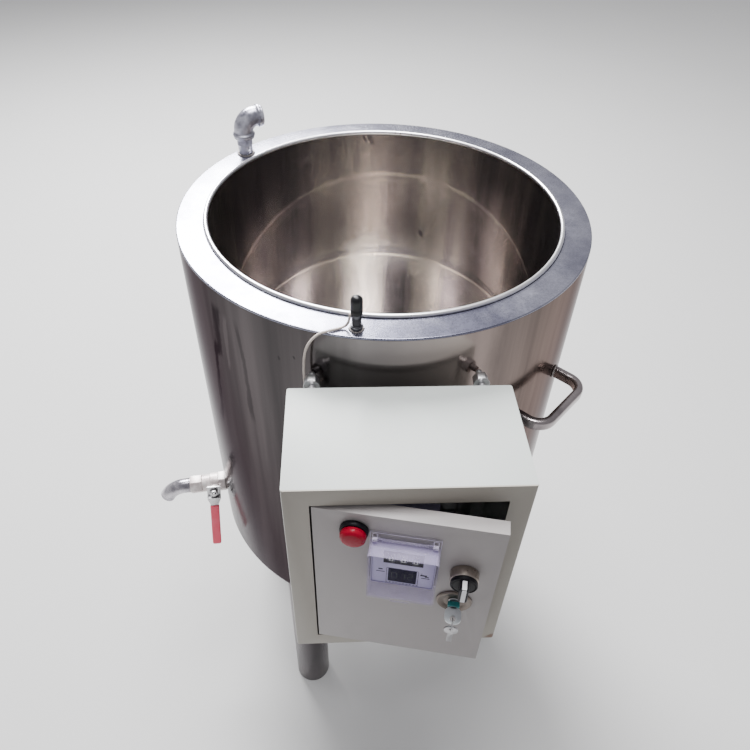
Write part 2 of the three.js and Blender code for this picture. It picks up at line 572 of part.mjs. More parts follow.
  // The sleeve is made upright about the strip's middle and leaned with the flare.
  const lean = (geometry) => geometry.rotateX(rad(LEVER.flare)).translate(0, outwards - t / 2, -headDrop - t);
  const along = Math.cos(rad(LEVER.flare));
  const top = -(length - LEVER.sleeveLength - headDrop - t) / along;
  const foot = -(length - headDrop - t) / along;
  const sleeve = lean(prism(roundedRectangle(LEVER.sleeveWidth, LEVER.sleeveThickness, LEVER.rounding), foot, top));
  const pocket = lean(block([-armWidth / 2 - GAP, armWidth / 2 + GAP],
    [-t / 2 - GAP, t / 2 + GAP], [foot + LEVER.sleeveEnd - GAP * 2, 0]));
  add(turning, 'lever_grip', cut(sleeve, pocket), redVinyl);
}

// Lays a side view, drawn as (y, z), so that it spans X from -half to +half.
function layStrip(side, half) {
  const points = side.getPoints();
  const laid = polygon(points.map((p) => [p.x, p.y]));
  const geometry = prism(laid, -half, half);
  const turn = new THREE.Matrix4().set(0, 0, 1, 0, 1, 0, 0, 0, 0, 1, 0, 0, 0, 0, 0, 1);
  return body(geometry.applyMatrix4(turn));
}

// The screw-in heater under the control box, in the jacket's bottom space.
function buildHeater() {
  const group = radialGroup(0, HEATER.height);
  const seat = shellRadius + HEATER.bossReach + GAP;
  const head = hexBar(HEATER.headAcross, seat, seat + HEATER.headLength, 'x');
  const thread = rod(HEATER.threadRadius, shellInner - RUN, seat + RUN, HEATER.facets, 'x');
  const hairpin = (half) => {
    const far = seat - HEATER.length;
    const points = [[seat, half], ...arc(far, 0, half, 90, 270, 6), [seat, -half]];
    return sweep(circle(HEATER.tubeRadius, HEATER.tubeSides),
      new PlanePath(points.map(([x, y]) => new THREE.Vector3(x, y, 0))), HEATER.steps);
  };
  add(group, 'heater_element', join(head, thread, hairpin(HEATER.outerHalf), hairpin(HEATER.innerHalf)), brass);
  const capStart = seat + HEATER.headLength + GAP;
  const capEnd = capStart + HEATER.capLength;
  const { capRadius, capWall } = HEATER;
  add(group, 'terminal_cap', revolve([
    [0, capEnd], [capRadius - capWall, capEnd], [capRadius, capEnd - capWall], [capRadius, capStart],
    [capRadius - capWall, capStart], [capRadius - capWall, capEnd - capWall], [0, capEnd - capWall],
  ], HEATER.facets, 'x'), blackPlastic);
}

// The control box: a folded case with a framed front opening.
function buildBox() {
  const { wall } = BOX;
  const span = (low, high, inset) => [low + inset, high - inset];
  const yRange = [boxFront, boxBack];
  const outer = prism(roundedRectangle(BOX.width, BOX.depth, BOX.edge, BOX.middle, boxBack - BOX.depth / 2, 2),
    boxBottom, boxTop);
  const inner = block(span(boxLeft, boxLeft + BOX.width, wall), span(...yRange, wall), span(boxBottom, boxTop, wall));
  const opening = block(openingX, [boxFront - RUN, boxFront + wall + RUN], openingZ);
  const along = (geometry, x, y, z) => geometry.translate(x, y, z);
  const studHoles = [-1, 1].map((side) =>
    along(rod(STUD.holeRadius, -RUN, RUN, STUD.facets, 'y'), side * STUD.spread, boxBack, boxTop - STUD.drop));
  const grommetHole = along(rod(GROMMET.radius + GAP, -RUN, RUN, GROMMET.facets, 'y'), grommetX, boxBack, boxTop - GROMMET.drop);
  const glandHoles = [GLAND.powerX, GLAND.heaterX].map((x) =>
    along(rod(GLAND.threadRadius + GAP, -RUN, RUN, GLAND.facets), x, boxBack - GLAND.inset, boxBottom));
  const bracket = (z) => block(
    [openingX[0] - HINGE.bracketReach / 2, hingeX + HINGE.knuckleRadius],
    [boxFront + wall / 2, hingeY + HINGE.knuckleRadius], [z, z + HINGE.bracketThickness]);
  const bracketZ = [openingZ[0] - GAP - HINGE.bracketThickness, openingZ[1] + GAP];
  const pinHole = along(rod(HINGE.pinRadius + GAP, openingZ[0] - RUN * 2, openingZ[1] + RUN * 2, HINGE.facets),
    hingeX, hingeY, 0);
  const pinSpans = [
    [bracketZ[0], bracketZ[0] + HINGE.pinLength],
    [bracketZ[1] + HINGE.bracketThickness - HINGE.pinLength, bracketZ[1] + HINGE.bracketThickness],
  ];
  const pins = pinSpans.map((range) => along(rod(HINGE.pinRadius, ...range, HINGE.facets), hingeX, hingeY, 0));
  const folded = cut(outer, inner, opening);
  add(root, 'enclosure',
    cut(join(folded, ...bracketZ.map(bracket), ...pins), ...studHoles, grommetHole, ...glandHoles), paleCoat);

  // Studs welded to the shell carry the box, each with a flanged nut between the shell and the box.
  for (const [name, side] of [['left', -1], ['right', 1]]) {
    const x = side * STUD.spread;
    const shellY = -Math.sqrt(shellRadius ** 2 - (STUD.spread - STUD.radius) ** 2) - GAP * 2;
    const z = boxTop - STUD.drop;
    add(root, `stud_${name}`, rod(STUD.radius, boxBack - STUD.inside, shellY, STUD.facets, 'y'), zincSteel)
      .position.set(x, 0, z);
    const nutFoot = boxBack + STUD.standOff;
    const flange = rod(STUD.flangeRadius, nutFoot, nutFoot + STUD.flangeThickness, PIPE.facets, 'y');
    const hex = hexBar(STUD.nutAcross, nutFoot + STUD.flangeThickness - GAP, nutFoot + STUD.flangeThickness + STUD.nutLength, 'y');
    const bore = rod(STUD.holeRadius, boxBack, nutFoot + STUD.nutLength * 2, STUD.facets, 'y');
    add(root, `stud_nut_${name}`, cut(join(flange, hex), bore), zincSteel).position.set(x, 0, z);
  }

  const { flange, flangeThickness, standOff } = GROMMET;
  const seat = boxBack + GAP;
  add(root, 'lead_grommet', revolve([
    [0, boxBack - BOX.wall * 2], [GROMMET.radius, boxBack - BOX.wall * 2], [GROMMET.radius, seat],
    [flange, seat], [flange, seat + flangeThickness], [GROMMET.radius, boxBack + standOff], [0, boxBack + standOff],
  ], GROMMET.facets, 'y').translate(grommetX, 0, boxTop - GROMMET.drop), rubber);

  const glands = { power_gland: GLAND.powerX, heater_gland: GLAND.heaterX };
  for (const [name, x] of Object.entries(glands)) {
    const hexTop = boxBottom - GAP;
    const hexFoot = hexTop - GLAND.hexHeight;
    const dome = [[0, hexFoot + GAP], [GLAND.domeRadius, hexFoot + GAP], [GLAND.domeRadius, hexFoot - GLAND.domeHeight / 2],
      [GLAND.threadRadius, hexFoot - GLAND.domeHeight], [0, hexFoot - GLAND.domeHeight]];
    const nut = hexBar(GLAND.hexAcross, hexFoot, hexTop);
    const thread = rod(GLAND.threadRadius, hexTop - GAP, hexTop + GLAND.inside, GLAND.facets);
    const bore = rod(GLAND.bore, hexFoot - GLAND.domeHeight - RUN, hexTop + GLAND.inside + RUN, GLAND.facets);
    add(root, name, cut(join(nut, thread, revolve(dome, GLAND.facets)), bore), blackPlastic).position.set(x, boxBack - GLAND.inset, 0);
  }
}

// What the box holds: a back plate with a rail, a contactor and a row of terminals.
function buildInside() {
  const plateBack = boxBack - BOX.wall - PLATE.standOff;
  const plateFront = plateBack - PLATE.thickness;
  const middleZ = boxBottom + BOX.height / 2;
  const [halfW, halfH] = [PLATE.width / 2, BOX.height / 2 - PLATE.inset];
  const sheet = block([BOX.middle - halfW, BOX.middle + halfW], [plateFront, plateBack], [middleZ - halfH, middleZ + halfH]);
  const bosses = [-1, 1].flatMap((sx) => [-1, 1].map((sz) =>
    rod(PLATE.bossRadius, plateBack - PLATE.thickness / 2, boxBack - BOX.wall - GAP, PLATE.facets, 'y').translate(
      BOX.middle + sx * (halfW - PLATE.bossInset * 2), 0, middleZ + sz * (halfH - PLATE.bossInset * 3))));
  const railZ = middleZ - RAIL.drop;
  const seat = plateFront + PLATE.thickness / 5;
  const { height, crown, depth, wall } = RAIL;
  const hat = polygon([
    [0, -height / 2], [-wall, -height / 2], [-wall, -crown / 2 - wall], [-depth, -crown / 2], [-depth, crown / 2],
    [-wall, crown / 2 + wall], [-wall, height / 2], [0, height / 2], [0, crown / 2], [-depth + wall, crown / 2 - wall],
    [-depth + wall, -crown / 2 + wall], [0, -crown / 2],
  ]);
  const rail = layStrip(hat, RAIL.length / 2).translate(BOX.middle + RAIL.centre, seat, railZ);
  add(root, 'mounting_plate', join(sheet, ...bosses, rail), zincSteel);

  const railFront = seat - depth - GAP;
  const c = CONTACTOR;
  const [left, right] = [BOX.middle + c.x - c.width / 2, BOX.middle + c.x + c.width / 2];
  const low = block([left, right], [railFront - c.depth + c.stepDepth, railFront], [railZ - c.height / 2, railZ + c.height / 2]);
  const high = block([left, right], [railFront - c.depth, railFront],
    [railZ - c.height / 2 + c.stepHeight, railZ + c.height / 2 - c.stepHeight]);
  const coil = block([left + c.stepHeight / 2, right - c.stepHeight / 2], [railFront - c.depth - c.headDepth, railFront],
    [railZ - c.head / 2 + c.stepHeight / 2, railZ + c.head / 2 - c.stepHeight / 2]);
  const screws = [-1, 0, 1].flatMap((k) => [-1, 1].map((side) =>
    rod(c.screw, railFront - c.depth + c.stepDepth - RUN, railFront - c.depth + c.stepDepth + c.screwDepth, GLAND.facets / 2, 'y')
      .translate(BOX.middle + c.x + k * c.screwPitch, 0, railZ + side * (c.height / 2 - c.stepHeight / 2))));
  add(root, 'contactor', cut(join(low, high, coil), ...screws), blackPlastic);

  const t = TERMINALS;
  const start = BOX.middle + t.x - (t.count * t.pitch) / 2;
  const base = block([start, start + t.count * t.pitch], [railFront - t.depth, railFront], [railZ - t.height / 2, railZ + t.height / 2]);
  const slots = Array.from({ length: t.count - 1 }, (_, i) => start + t.pitch * (i + 1)).map((x) =>
    block([x - t.slot / 2, x + t.slot / 2], [railFront - t.depth - RUN, railFront - t.depth + t.slotDepth],
      [railZ - t.height, railZ + t.height]));
  const funnels = Array.from({ length: t.count }, (_, i) => start + t.pitch * (i + 0.5)).map((x) =>
    rod(t.funnel, railFront - t.depth - RUN, railFront - t.depth + t.funnelDepth, GLAND.facets / 2, 'y').translate(x, 0, railZ));
  add(root, 'terminal_block', cut(base, ...slots, ...funnels), greyPlastic);
}

// The door stands ajar. Its group's origin is on the hinge axis at the leaf's foot, X runs along the
// leaf and -Y is outwards. A device is placed by its distance u from the hinge edge and its drop below the top.
function buildDoor() {
  const door = new THREE.Group();
  door.position.set(hingeX, hingeY, doorBottom);
  door.rotation.z = -rad(DOOR.ajar);
  root.add(door);
  const left = -HINGE.inset;
  const front = -HINGE.inset;
  const right = left + doorWidth;
  const height = doorHeight;
  const { sheet, returnDepth, hingeReturn } = DOOR;

  const outer = block([left, right], [front, front + returnDepth], [0, height]);
  const hollow = block([left + sheet, right - sheet], [front + sheet, front + returnDepth + RUN], [sheet, height - sheet]);
  const hingeSide = block([left - RUN, left + sheet + RUN], [front + hingeReturn, front + returnDepth + RUN], [-RUN, height + RUN]);
  const knuckle = ([from, to]) => join(
    rod(HINGE.knuckleRadius, from, to, HINGE.facets),
    block([left + sheet / 2, 0], [-HINGE.webHalf, HINGE.webHalf], [from, to]));
  const knuckles = [[sheet / 2, HINGE.knuckleHeight], [height - HINGE.knuckleHeight, height - sheet / 2]].map(knuckle);
  const pinBore = rod(HINGE.pinRadius + GAP, -RUN, height + RUN, HINGE.facets);
  const hole = (device, radius) =>
    rod(radius, front - RUN, front + sheet + RUN, LAMP.facets, 'y').translate(device.u + left, 0, height - device.drop);
  const half = CONTROL.caseWidth / 2 + GAP;
  const [cu, cv] = [CONTROL.u + left, height - CONTROL.drop];
  const window = block([cu - half, cu + half], [front - RUN, front + sheet + RUN], [cv - half, cv + half]);
  add(door, 'door_leaf', cut(join(cut(outer, hollow, hingeSide), ...knuckles), pinBore, window,
    hole(LAMP, LAMP.bodyRadius + GAP), hole(SELECTOR, SELECTOR.threadRadius + GAP), hole(LOCK, LOCK.bodyRadius + GAP)),
  paleCoat);

  // A device group has X to the right, Y up and Z outwards from the leaf's face.
  const deviceGroup = ({ u, drop }) => {
    const group = new THREE.Group();
    group.position.set(u + left, front, height - drop);
    group.rotation.x = Math.PI / 2;
    door.add(group);
    return group;
  };
  buildLamp(deviceGroup(LAMP));
  buildController(deviceGroup(CONTROL));
  buildSelector(deviceGroup(SELECTOR));
  buildLock(deviceGroup(LOCK));
}

// Pilot lamp: a black bezel and body with a red lens.
function buildLamp(group) {
  const { bezelRadius, bezelHeight, bezelChamfer, bodyRadius, bodyLength, lensRadius, lensHeight, lensDome, facets } = LAMP;
  const nutTop = -DOOR.sheet - GAP;
  const bezel = revolve([
    [0, -bodyLength], [bodyRadius, -bodyLength], [bodyRadius, GAP], [bezelRadius, GAP],
    [bezelRadius, bezelHeight - bezelChamfer], [bezelRadius - bezelChamfer, bezelHeight], [0, bezelHeight],
  ], facets);
  const nut = hexBar(LAMP.nutAcross, nutTop - LAMP.nutHeight, nutTop);
  add(group, 'lamp_body', join(bezel, nut), blackPlastic);
  const top = bezelHeight + lensHeight;
  add(group, 'lamp_lens', revolve([
    [0, bezelHeight + GAP], [lensRadius, bezelHeight + GAP],
    ...arc(lensRadius - lensDome, top - lensDome, lensDome, 0, 90, 4), [0, top],
  ], facets), redLens);
}

// Temperature controller behind a clear flip-up cover.
function buildController(group) {
  const c = CONTROL;
  const seat = COVER.baseThickness + GAP * 2;
  const top = seat + c.frontHeight;
  const faceFloor = top - c.faceRecess - c.faceThickness - c.faceGap;
  const inside = c.front - c.frameWidth * 2;
  const frame = prism(roundedRectangle(c.front, c.front, c.corner), seat, top);
  const rear = block([-c.caseWidth / 2, c.caseWidth / 2], [-c.caseWidth / 2, c.caseWidth / 2], [-c.caseDepth, seat + GAP]);
  const recess = prism(roundedRectangle(inside, inside, c.corner / 2), faceFloor, top + RUN);
  const faceTop = faceFloor + c.faceGap + c.faceThickness;
  const wheelX = Array.from({ length: c.wheelCount }, (_, i) => (i - (c.wheelCount - 1) / 2) * c.wheelPitch);
  const wheelZ = faceTop - c.wheelSink;
  const stubHalf = c.wheelWidth / 2 + c.wheelStub;
  const wells = wheelX.flatMap((x) => {
    const half = c.wheelWidth / 2 + GAP;
    const well = rod(c.wheelRadius + GAP * 2, x - half, x + half, c.wheelFacets, 'x').translate(0, c.wheelRise, wheelZ);
    const stubs = rod(c.wheelAxle + GAP, x - stubHalf - GAP, x + stubHalf + GAP, HINGE.facets, 'x')
      .translate(0, c.wheelRise, wheelZ);
    return [well, stubs];
  });
  const displayBottom = -inside / 2 + c.displayRise;
  const displaySpan = [displayBottom, displayBottom + c.displayHeight];
  const displayPocket = block([-c.displayWidth / 2, c.displayWidth / 2], displaySpan,
    [faceFloor - c.displayThickness, faceFloor + RUN]);
  add(group, 'controller_case', cut(join(frame, rear), recess, ...wells, displayPocket), blackPlastic);

  const plate = prism(roundedRectangle(inside - GAP * 2, inside - GAP * 2, c.corner / 2), faceFloor + c.faceGap, faceTop);
  const windowHalf = Math.sqrt(c.wheelRadius ** 2 - (c.wheelSink - c.faceThickness) ** 2) + GAP * 2;
  const windows = wheelX.map((x) => block([x - c.wheelWidth / 2 - GAP, x + c.wheelWidth / 2 + GAP],
    [c.wheelRise - windowHalf, c.wheelRise + windowHalf], [faceFloor - RUN, faceTop + RUN]));
  const displayWindow = block([-c.displayWidth / 2, c.displayWidth / 2], displaySpan, [faceFloor - RUN, faceTop + RUN]);
  add(group, 'controller_face', cut(plate, ...windows, displayWindow), lilacPlastic);
  add(group, 'display_window', block([-c.displayWidth / 2 + GAP, c.displayWidth / 2 - GAP],
    [displaySpan[0] + GAP, displaySpan[1] - GAP], [faceFloor - c.displayThickness + GAP, faceTop]), screenGlass);

  wheelX.forEach((x, i) => {
    const disc = polygon(Array.from({ length: c.wheelFacets }, (_, k) => {
      const angle = (2 * Math.PI * k) / c.wheelFacets;
      const r = c.wheelRadius - (k % 2) * c.notch;
      return [r * Math.cos(angle), r * Math.sin(angle)];
    }));
    const wheel = layStrip(disc, c.wheelWidth / 2);
    const stub = rod(c.wheelAxle, -stubHalf, stubHalf, HINGE.facets, 'x');
    add(group, `thumbwheel_${i + 1}`, join(wheel, stub), blackPlastic).position.set(x, c.wheelRise, wheelZ);
  });
  buildCover(group);
}

// The cover's base frame carries two ears at its top, and the clear cover swings on them.
function buildCover(group) {
  const c = COVER;
  const [width, height] = [c.sideGap, c.endGap].map((gap) => CONTROL.front + (gap + c.wall) * 2);
  const [halfW, halfH] = [width / 2, height / 2];
  const pivot = [halfH + c.pivotUp, GAP + c.baseThickness + c.pivotOut];
  const baseTop = GAP + c.baseThickness;
  const window = CONTROL.caseWidth / 2 + GAP;
  const plate = block([-halfW - c.baseBorder, halfW + c.baseBorder], [-halfH - c.baseBorder, halfH + c.baseTop], [GAP, baseTop]);
  const earAt = (x) => [x - c.earWidth / 2, x + c.earWidth / 2];
  const earX = [-1, 1].map((side) => side * (halfW - c.earWidth));
  const ears = earX.map((x) => join(
    rod(c.earRadius, ...earAt(x), HINGE.facets, 'x').translate(0, ...pivot),
    block(earAt(x), [pivot[0] - c.earRadius, pivot[0] + c.earRadius], [baseTop - GAP, pivot[1]])));
  const pinBore = rod(c.pinRadius + GAP, -halfW - RUN, halfW + RUN, HINGE.facets, 'x').translate(0, ...pivot);
  const opening = block([-window, window], [-window, window], [GAP - RUN, baseTop + RUN]);
  add(group, 'cover_base', cut(join(plate, ...ears), pinBore, opening), clearPlastic);

  const foot = baseTop + GAP;
  const shellTop = foot + c.depth;
  const shell = prism(roundedRectangle(width, height, c.corner), foot, shellTop);
  const hollow = prism(roundedRectangle(width - c.wall * 2, height - c.wall * 2, c.corner - c.wall / 2),
    foot - RUN, shellTop - c.wall);
  const tab = block([-c.tab, c.tab], [-halfH - c.tabReach, -halfH + c.wall / 2], [shellTop - c.wall, shellTop]);
  const armReach = halfW - c.earWidth * 1.5 - GAP;
  const arms = [-1, 1].map((side) => {
    const x = [side * armReach, side * (armReach - c.earWidth)].sort((p, q) => p - q);
    return join(
      block(x, [halfH - c.wall / 2, pivot[0]], [pivot[1] - c.pinRadius, pivot[1] + c.pinRadius]),
      rod(c.pinRadius + GAP * 2, ...x, HINGE.facets, 'x').translate(0, ...pivot));
  });
  const pin = rod(c.pinRadius, -halfW + c.earWidth / 2, halfW - c.earWidth / 2, HINGE.facets, 'x').translate(0, ...pivot);
  add(group, 'clear_cover', join(cut(shell, hollow), tab, ...arms, pin), clearPlastic);
}

// Rotary selector: a steel collar, a black knob with a lever and a contact block behind the leaf.
function buildSelector(group) {
  const s = SELECTOR;
  add(group, 'selector_bezel', revolve([
    [s.shaftRadius + GAP, -s.blockStart + GAP], [s.threadRadius, -s.blockStart + GAP], [s.threadRadius, GAP],
    [s.bezelRadius, GAP], [s.bezelRadius, s.bezelHeight - s.bezelChamfer],
    [s.bezelRadius - s.bezelChamfer, s.bezelHeight], [s.bezelInner, s.bezelHeight],
    [s.bezelInner, s.bezelHeight - s.bezelChamfer * 2 - s.discSink], [s.shaftRadius + GAP, s.bezelHeight - s.bezelChamfer * 2 - s.discSink],
  ], s.facets), satinSteel);
  const discFoot = s.bezelHeight - s.bezelChamfer * 2 - s.discSink + GAP;
  const discTop = s.bezelHeight + GAP;
  const disc = rod(s.discRadius, discFoot, discTop, s.facets);
  const shaft = rod(s.shaftRadius, -s.blockStart + GAP, discFoot + GAP, HINGE.facets);
  const lever = prism(roundedRectangle(s.leverWidth, s.leverLength, s.leverWidth / 3), discTop - GAP, discTop + s.leverHeight);
  const slope = polygon([
    [s.leverWidth / 2, discTop], [s.leverWidth / 2 + RUN, discTop],
    [s.leverWidth / 2 + RUN, discTop + s.leverHeight + RUN], [s.leverWidth / 2 - s.leverTaper, discTop + s.leverHeight + RUN],
  ]);
  const bevels = [0, Math.PI].map((turn) =>
    prism(slope, -s.leverLength, s.leverLength).rotateX(Math.PI / 2).rotateZ(turn));
  add(group, 'selector_knob', join(disc, shaft, cut(lever, ...bevels)), blackPlastic);
  add(group, 'selector_block', block([-s.blockWidth / 2, s.blockWidth / 2], [-s.blockHeight / 2, s.blockHeight / 2],
    [-s.blockStart - s.blockDepth, -s.blockStart]), blackPlastic);
}

// Cam lock with its dished plate, the key in it, and a spare key on the ring.
function buildLock(group) {
  const k = LOCK;
  add(group, 'lock_body', revolve([
    [k.plugRadius + GAP, -k.bodyLength], [k.bodyRadius, -k.bodyLength], [k.bodyRadius, GAP], [k.plateRadius, GAP],
    [k.plateRadius, k.plateThickness / 2], [k.plateRadius - k.dish, k.plateThickness],
    [k.bodyRadius + k.dish, k.plateThickness - k.dish], [k.bodyRadius, k.plateThickness - k.dish / 2],
    [k.plugRadius + GAP, k.plateThickness - k.dish / 2],
  ], k.facets), bronzeMetal);

  const camStart = -k.bodyLength - GAP;
  const keyway = block([-k.keywayWidth / 2, k.keywayWidth / 2], [-k.keywayThickness / 2, k.keywayThickness / 2],
    [k.plugFace - KEY.bladeDepth - GAP * 2, k.plugFace + RUN]);
  const plug = join(rod(k.plugRadius, camStart + GAP, k.plugFace, k.facets),
    rod(k.camHole - GAP, camStart - k.camThickness - k.camBoss, camStart + GAP * 2, k.facets / 2));
  add(group, 'lock_plug', cut(plug, keyway), zincSteel);
  const cam = prism(roundedRectangle(k.camWidth, k.camLength, k.camWidth / 3, 0, -k.camLength / 2 + k.camWidth / 2),
    camStart - k.camThickness, camStart);
  add(group, 'lock_cam', cut(cam, rod(k.camHole, camStart - RUN, camStart + RUN, k.facets / 2)), zincSteel);

  const bladeEnd = k.plugFace - KEY.bladeDepth;
  const bowEnd = KEY.bowStart + KEY.bowLength;
  const flat = (width, from, to, radius) => {
    const shape = roundedRectangle(width, to - from, radius, 0, (from + to) / 2);
    return prism(shape, -KEY.thickness / 2, KEY.thickness / 2).rotateX(Math.PI / 2);
  };
  const keyHole = rod(KEY.holeRadius, -KEY.thickness - RUN, KEY.thickness + RUN, k.facets / 2, 'y')
    .translate(0, 0, bowEnd - KEY.holeFromEnd);
  const blade = flat(KEY.bladeWidth, bladeEnd, KEY.bowStart + KEY.shoulder, KEY.thickness / 2);
  const bow = flat(KEY.bowWidth, KEY.bowStart, bowEnd, KEY.rounding);
  add(group, 'key', cut(join(blade, bow), keyHole), greyPlastic);
  const collarEnd = KEY.shoulder + KEY.collarLength - GAP;
  const collarShape = roundedRectangle(KEY.collarWidth, KEY.collarThickness, KEY.collarThickness / 3);
  add(group, 'key_collar', cut(prism(collarShape, KEY.shoulder, collarEnd),
    block([-KEY.bladeWidth / 2 - GAP, KEY.bladeWidth / 2 + GAP], [-KEY.thickness / 2 - GAP, KEY.thickness / 2 + GAP],
      [KEY.shoulder - RUN, collarEnd + RUN])), tealPlastic);

  // The ring hangs from the bow's hole in an upright plane, and the spare key hangs on the ring.
  const holeZ = bowEnd - KEY.holeFromEnd;
  const ringPoints = arc(0, 0, RING.radius, 0, 360, RING.facets).slice(0, RING.facets);
  const ringPath = new THREE.CatmullRomCurve3(ringPoints.map(([y, z]) => new THREE.Vector3(0, y, z)), true);
  const ring = sweep(circle(RING.wire, RING.sides), ringPath, RING.facets);
  const ringZ = holeZ + RING.outward;
  add(group, 'key_ring', ring, zincSteel).position.set(0, -RING.drop, ringZ);
  const spareDrop = RING.drop + RING.radius + SPARE.slack;
  const spare = prism(roundedRectangle(SPARE.bowWidth, SPARE.bowLength, SPARE.rounding, 0, -SPARE.bowLength / 2 + SPARE.holeFromEnd),
    -SPARE.thickness / 2, SPARE.thickness / 2);
  const spareBlade = prism(roundedRectangle(SPARE.bladeWidth, SPARE.length - SPARE.bowLength, SPARE.thickness / 2, 0,
    -(SPARE.length + SPARE.bowLength) / 2 + SPARE.holeFromEnd + SPARE.thickness), -SPARE.thickness / 2, SPARE.thickness / 2);
  const spareHole = rod(SPARE.holeRadius, -RUN, RUN, k.facets / 2);
  add(group, 'spare_key', cut(join(spare, spareBlade), spareHole), zincSteel).position.set(0, -spareDrop, ringZ);
}

buildTank();
buildLegs();
buildHandles();
buildVent();
buildSensor();
buildDrain();
buildHeater();
buildBox();
buildInside();
buildDoor();

export default root;
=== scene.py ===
"""Looks of the electric wax melter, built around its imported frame.

Lengths in the classes of the object's parts are in millimetres, in the frame of the part: the origin is the middle
of the pot's floor, +Z is up and the control box faces -Y. Meshes are turned to metres when a piece is finished.
Finishes, the camera, the lights and the floor are given in metres.
"""

from __future__ import annotations

import json
import logging
import math
from dataclasses import dataclass, replace
from enum import Enum
from typing import Any, Iterable, Mapping, Sequence, Union

import bmesh
import bpy
from bpy.types import Material, Mesh, Node, NodeSocket, NodeTree, Object
from mathutils import Matrix, Vector

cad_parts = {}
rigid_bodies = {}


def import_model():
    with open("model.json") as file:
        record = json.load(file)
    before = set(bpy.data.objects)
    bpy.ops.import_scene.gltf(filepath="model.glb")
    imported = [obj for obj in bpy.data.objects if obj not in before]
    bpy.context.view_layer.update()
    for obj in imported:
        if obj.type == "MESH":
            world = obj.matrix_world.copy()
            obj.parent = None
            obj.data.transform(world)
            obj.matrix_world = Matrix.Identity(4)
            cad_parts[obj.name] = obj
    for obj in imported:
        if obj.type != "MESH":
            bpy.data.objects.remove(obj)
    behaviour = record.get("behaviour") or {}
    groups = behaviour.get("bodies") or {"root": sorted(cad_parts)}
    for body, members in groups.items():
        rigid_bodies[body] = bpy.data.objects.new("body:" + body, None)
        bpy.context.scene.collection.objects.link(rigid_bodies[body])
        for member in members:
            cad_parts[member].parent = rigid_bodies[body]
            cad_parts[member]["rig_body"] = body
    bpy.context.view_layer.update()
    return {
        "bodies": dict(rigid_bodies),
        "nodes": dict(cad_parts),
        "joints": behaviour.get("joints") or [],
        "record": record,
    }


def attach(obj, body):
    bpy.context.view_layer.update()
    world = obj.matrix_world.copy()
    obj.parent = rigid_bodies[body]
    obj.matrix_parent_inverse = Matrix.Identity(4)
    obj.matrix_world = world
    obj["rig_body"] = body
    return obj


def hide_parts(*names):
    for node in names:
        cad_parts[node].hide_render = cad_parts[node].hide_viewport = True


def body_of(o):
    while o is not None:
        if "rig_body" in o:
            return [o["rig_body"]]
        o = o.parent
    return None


LOG = logging.getLogger("wax_melter")
FRAME: dict[str, Any] = {}
# Attribute of the eased edges, for wear and, on the clear cover, for a painted sheen on its edges and side walls.
WEAR_AND_SHEEN = "worn"
MM = 0.001
GAP = 0.3
RIM_TOP = 520.0
POT_RADIUS = 240.0
POT_WALL = 2.0
SHELL_RADIUS = 280.0

Rgb = tuple[float, float, float]
Point = tuple[float, float, float]
Span = tuple[float, float]
Outline = Sequence[tuple[float, float]]


class Body(str, Enum):
    """The rigid bodies that pieces ride on."""

    TANK = "tank"
    LEVER = "valve_lever"
    DOOR = "door"
    COVER = "cover"
    WHEEL_1 = "wheel_1"
    WHEEL_2 = "wheel_2"
    WHEEL_3 = "wheel_3"
    SELECTOR = "selector"
    LOCK = "lock"
    RING = "ring"
    SPARE = "spare"


class Axis(str, Enum):
    """The local axis that a turned form stands on."""

    X = "x"
    Y = "y"
    Z = "z"


# Shader helpers


def add_node(tree: NodeTree, kind: str, settings: Mapping[str, object],
             sockets: Mapping[object, object]) -> Node:
    """Adds a node to a tree of any kind.

    Args:
        tree: The tree.
        kind: The node's type.
        settings: Its own settings, set before the sockets.
        sockets: Values or links for its inputs, by name or number.

    Returns:
        The node.
    """
    made = tree.nodes.new(kind)
    for key, value in settings.items():
        setattr(made, key, value)
    for key, value in sockets.items():
        if isinstance(value, NodeSocket):
            tree.links.new(value, made.inputs[key])
        else:
            made.inputs[key].default_value = value
    return made


class Signal:
    """A socket of a shader tree that takes part in sums written as Python expressions."""

    def __init__(self, tree: "ShaderTree", socket: NodeSocket) -> None:
        """Wraps one output socket of a tree."""
        self.tree = tree
        self.socket = socket

    def _maths(self, operation: str, first: "Operand", second: "Operand") -> "Signal":
        """Adds one Math node for an operator."""
        node = self.tree.node("ShaderNodeMath", {"operation": operation}, {0: first, 1: second})
        return Signal(self.tree, node.outputs[0])

    def __add__(self, other: "Operand") -> "Signal":
        """Sum."""
        return self._maths("ADD", self, other)

    def __sub__(self, other: "Operand") -> "Signal":
        """Difference."""
        return self._maths("SUBTRACT", self, other)

    def __mul__(self, other: "Operand") -> "Signal":
        """Product."""
        return self._maths("MULTIPLY", self, other)

    def __truediv__(self, other: "Operand") -> "Signal":
        """Quotient."""
        return self._maths("DIVIDE", self, other)

    def __pow__(self, other: "Operand") -> "Signal":
        """Power."""
        return self._maths("POWER", self, other)

    def __rsub__(self, other: "Operand") -> "Signal":
        """Reflected difference, so that 1 - mask works."""
        return self._maths("SUBTRACT", other, self)

    def __rtruediv__(self, other: "Operand") -> "Signal":
        """Reflected quotient."""
        return self._maths("DIVIDE", other, self)

    def __rpow__(self, other: "Operand") -> "Signal":
        """Reflected power."""
        return self._maths("POWER", other, self)

    __radd__ = __add__
    __rmul__ = __mul__

    def ramp(self, low: float, high: float, smooth: bool = True) -> "Signal":
        """The range from low to high turned into 0 to 1 and clamped, eased at both ends where smooth."""
        kind = {"interpolation_type": "SMOOTHSTEP" if smooth else "LINEAR"}
        return Signal(self.tree, self.tree.node(
            "ShaderNodeMapRange", kind, {0: self, 1: low, 2: high, 3: 0.0, 4: 1.0}).outputs[0])

    def bell(self, flat: float = 0.0) -> "Signal":
        """A mask that is 1 where the value is 0, and 0 from where it is 1 or -1."""
        return 1.0 - (self * self).ramp(flat, 1.0)


Operand = Union[Signal, float]
Colour = Union[Signal, Rgb]


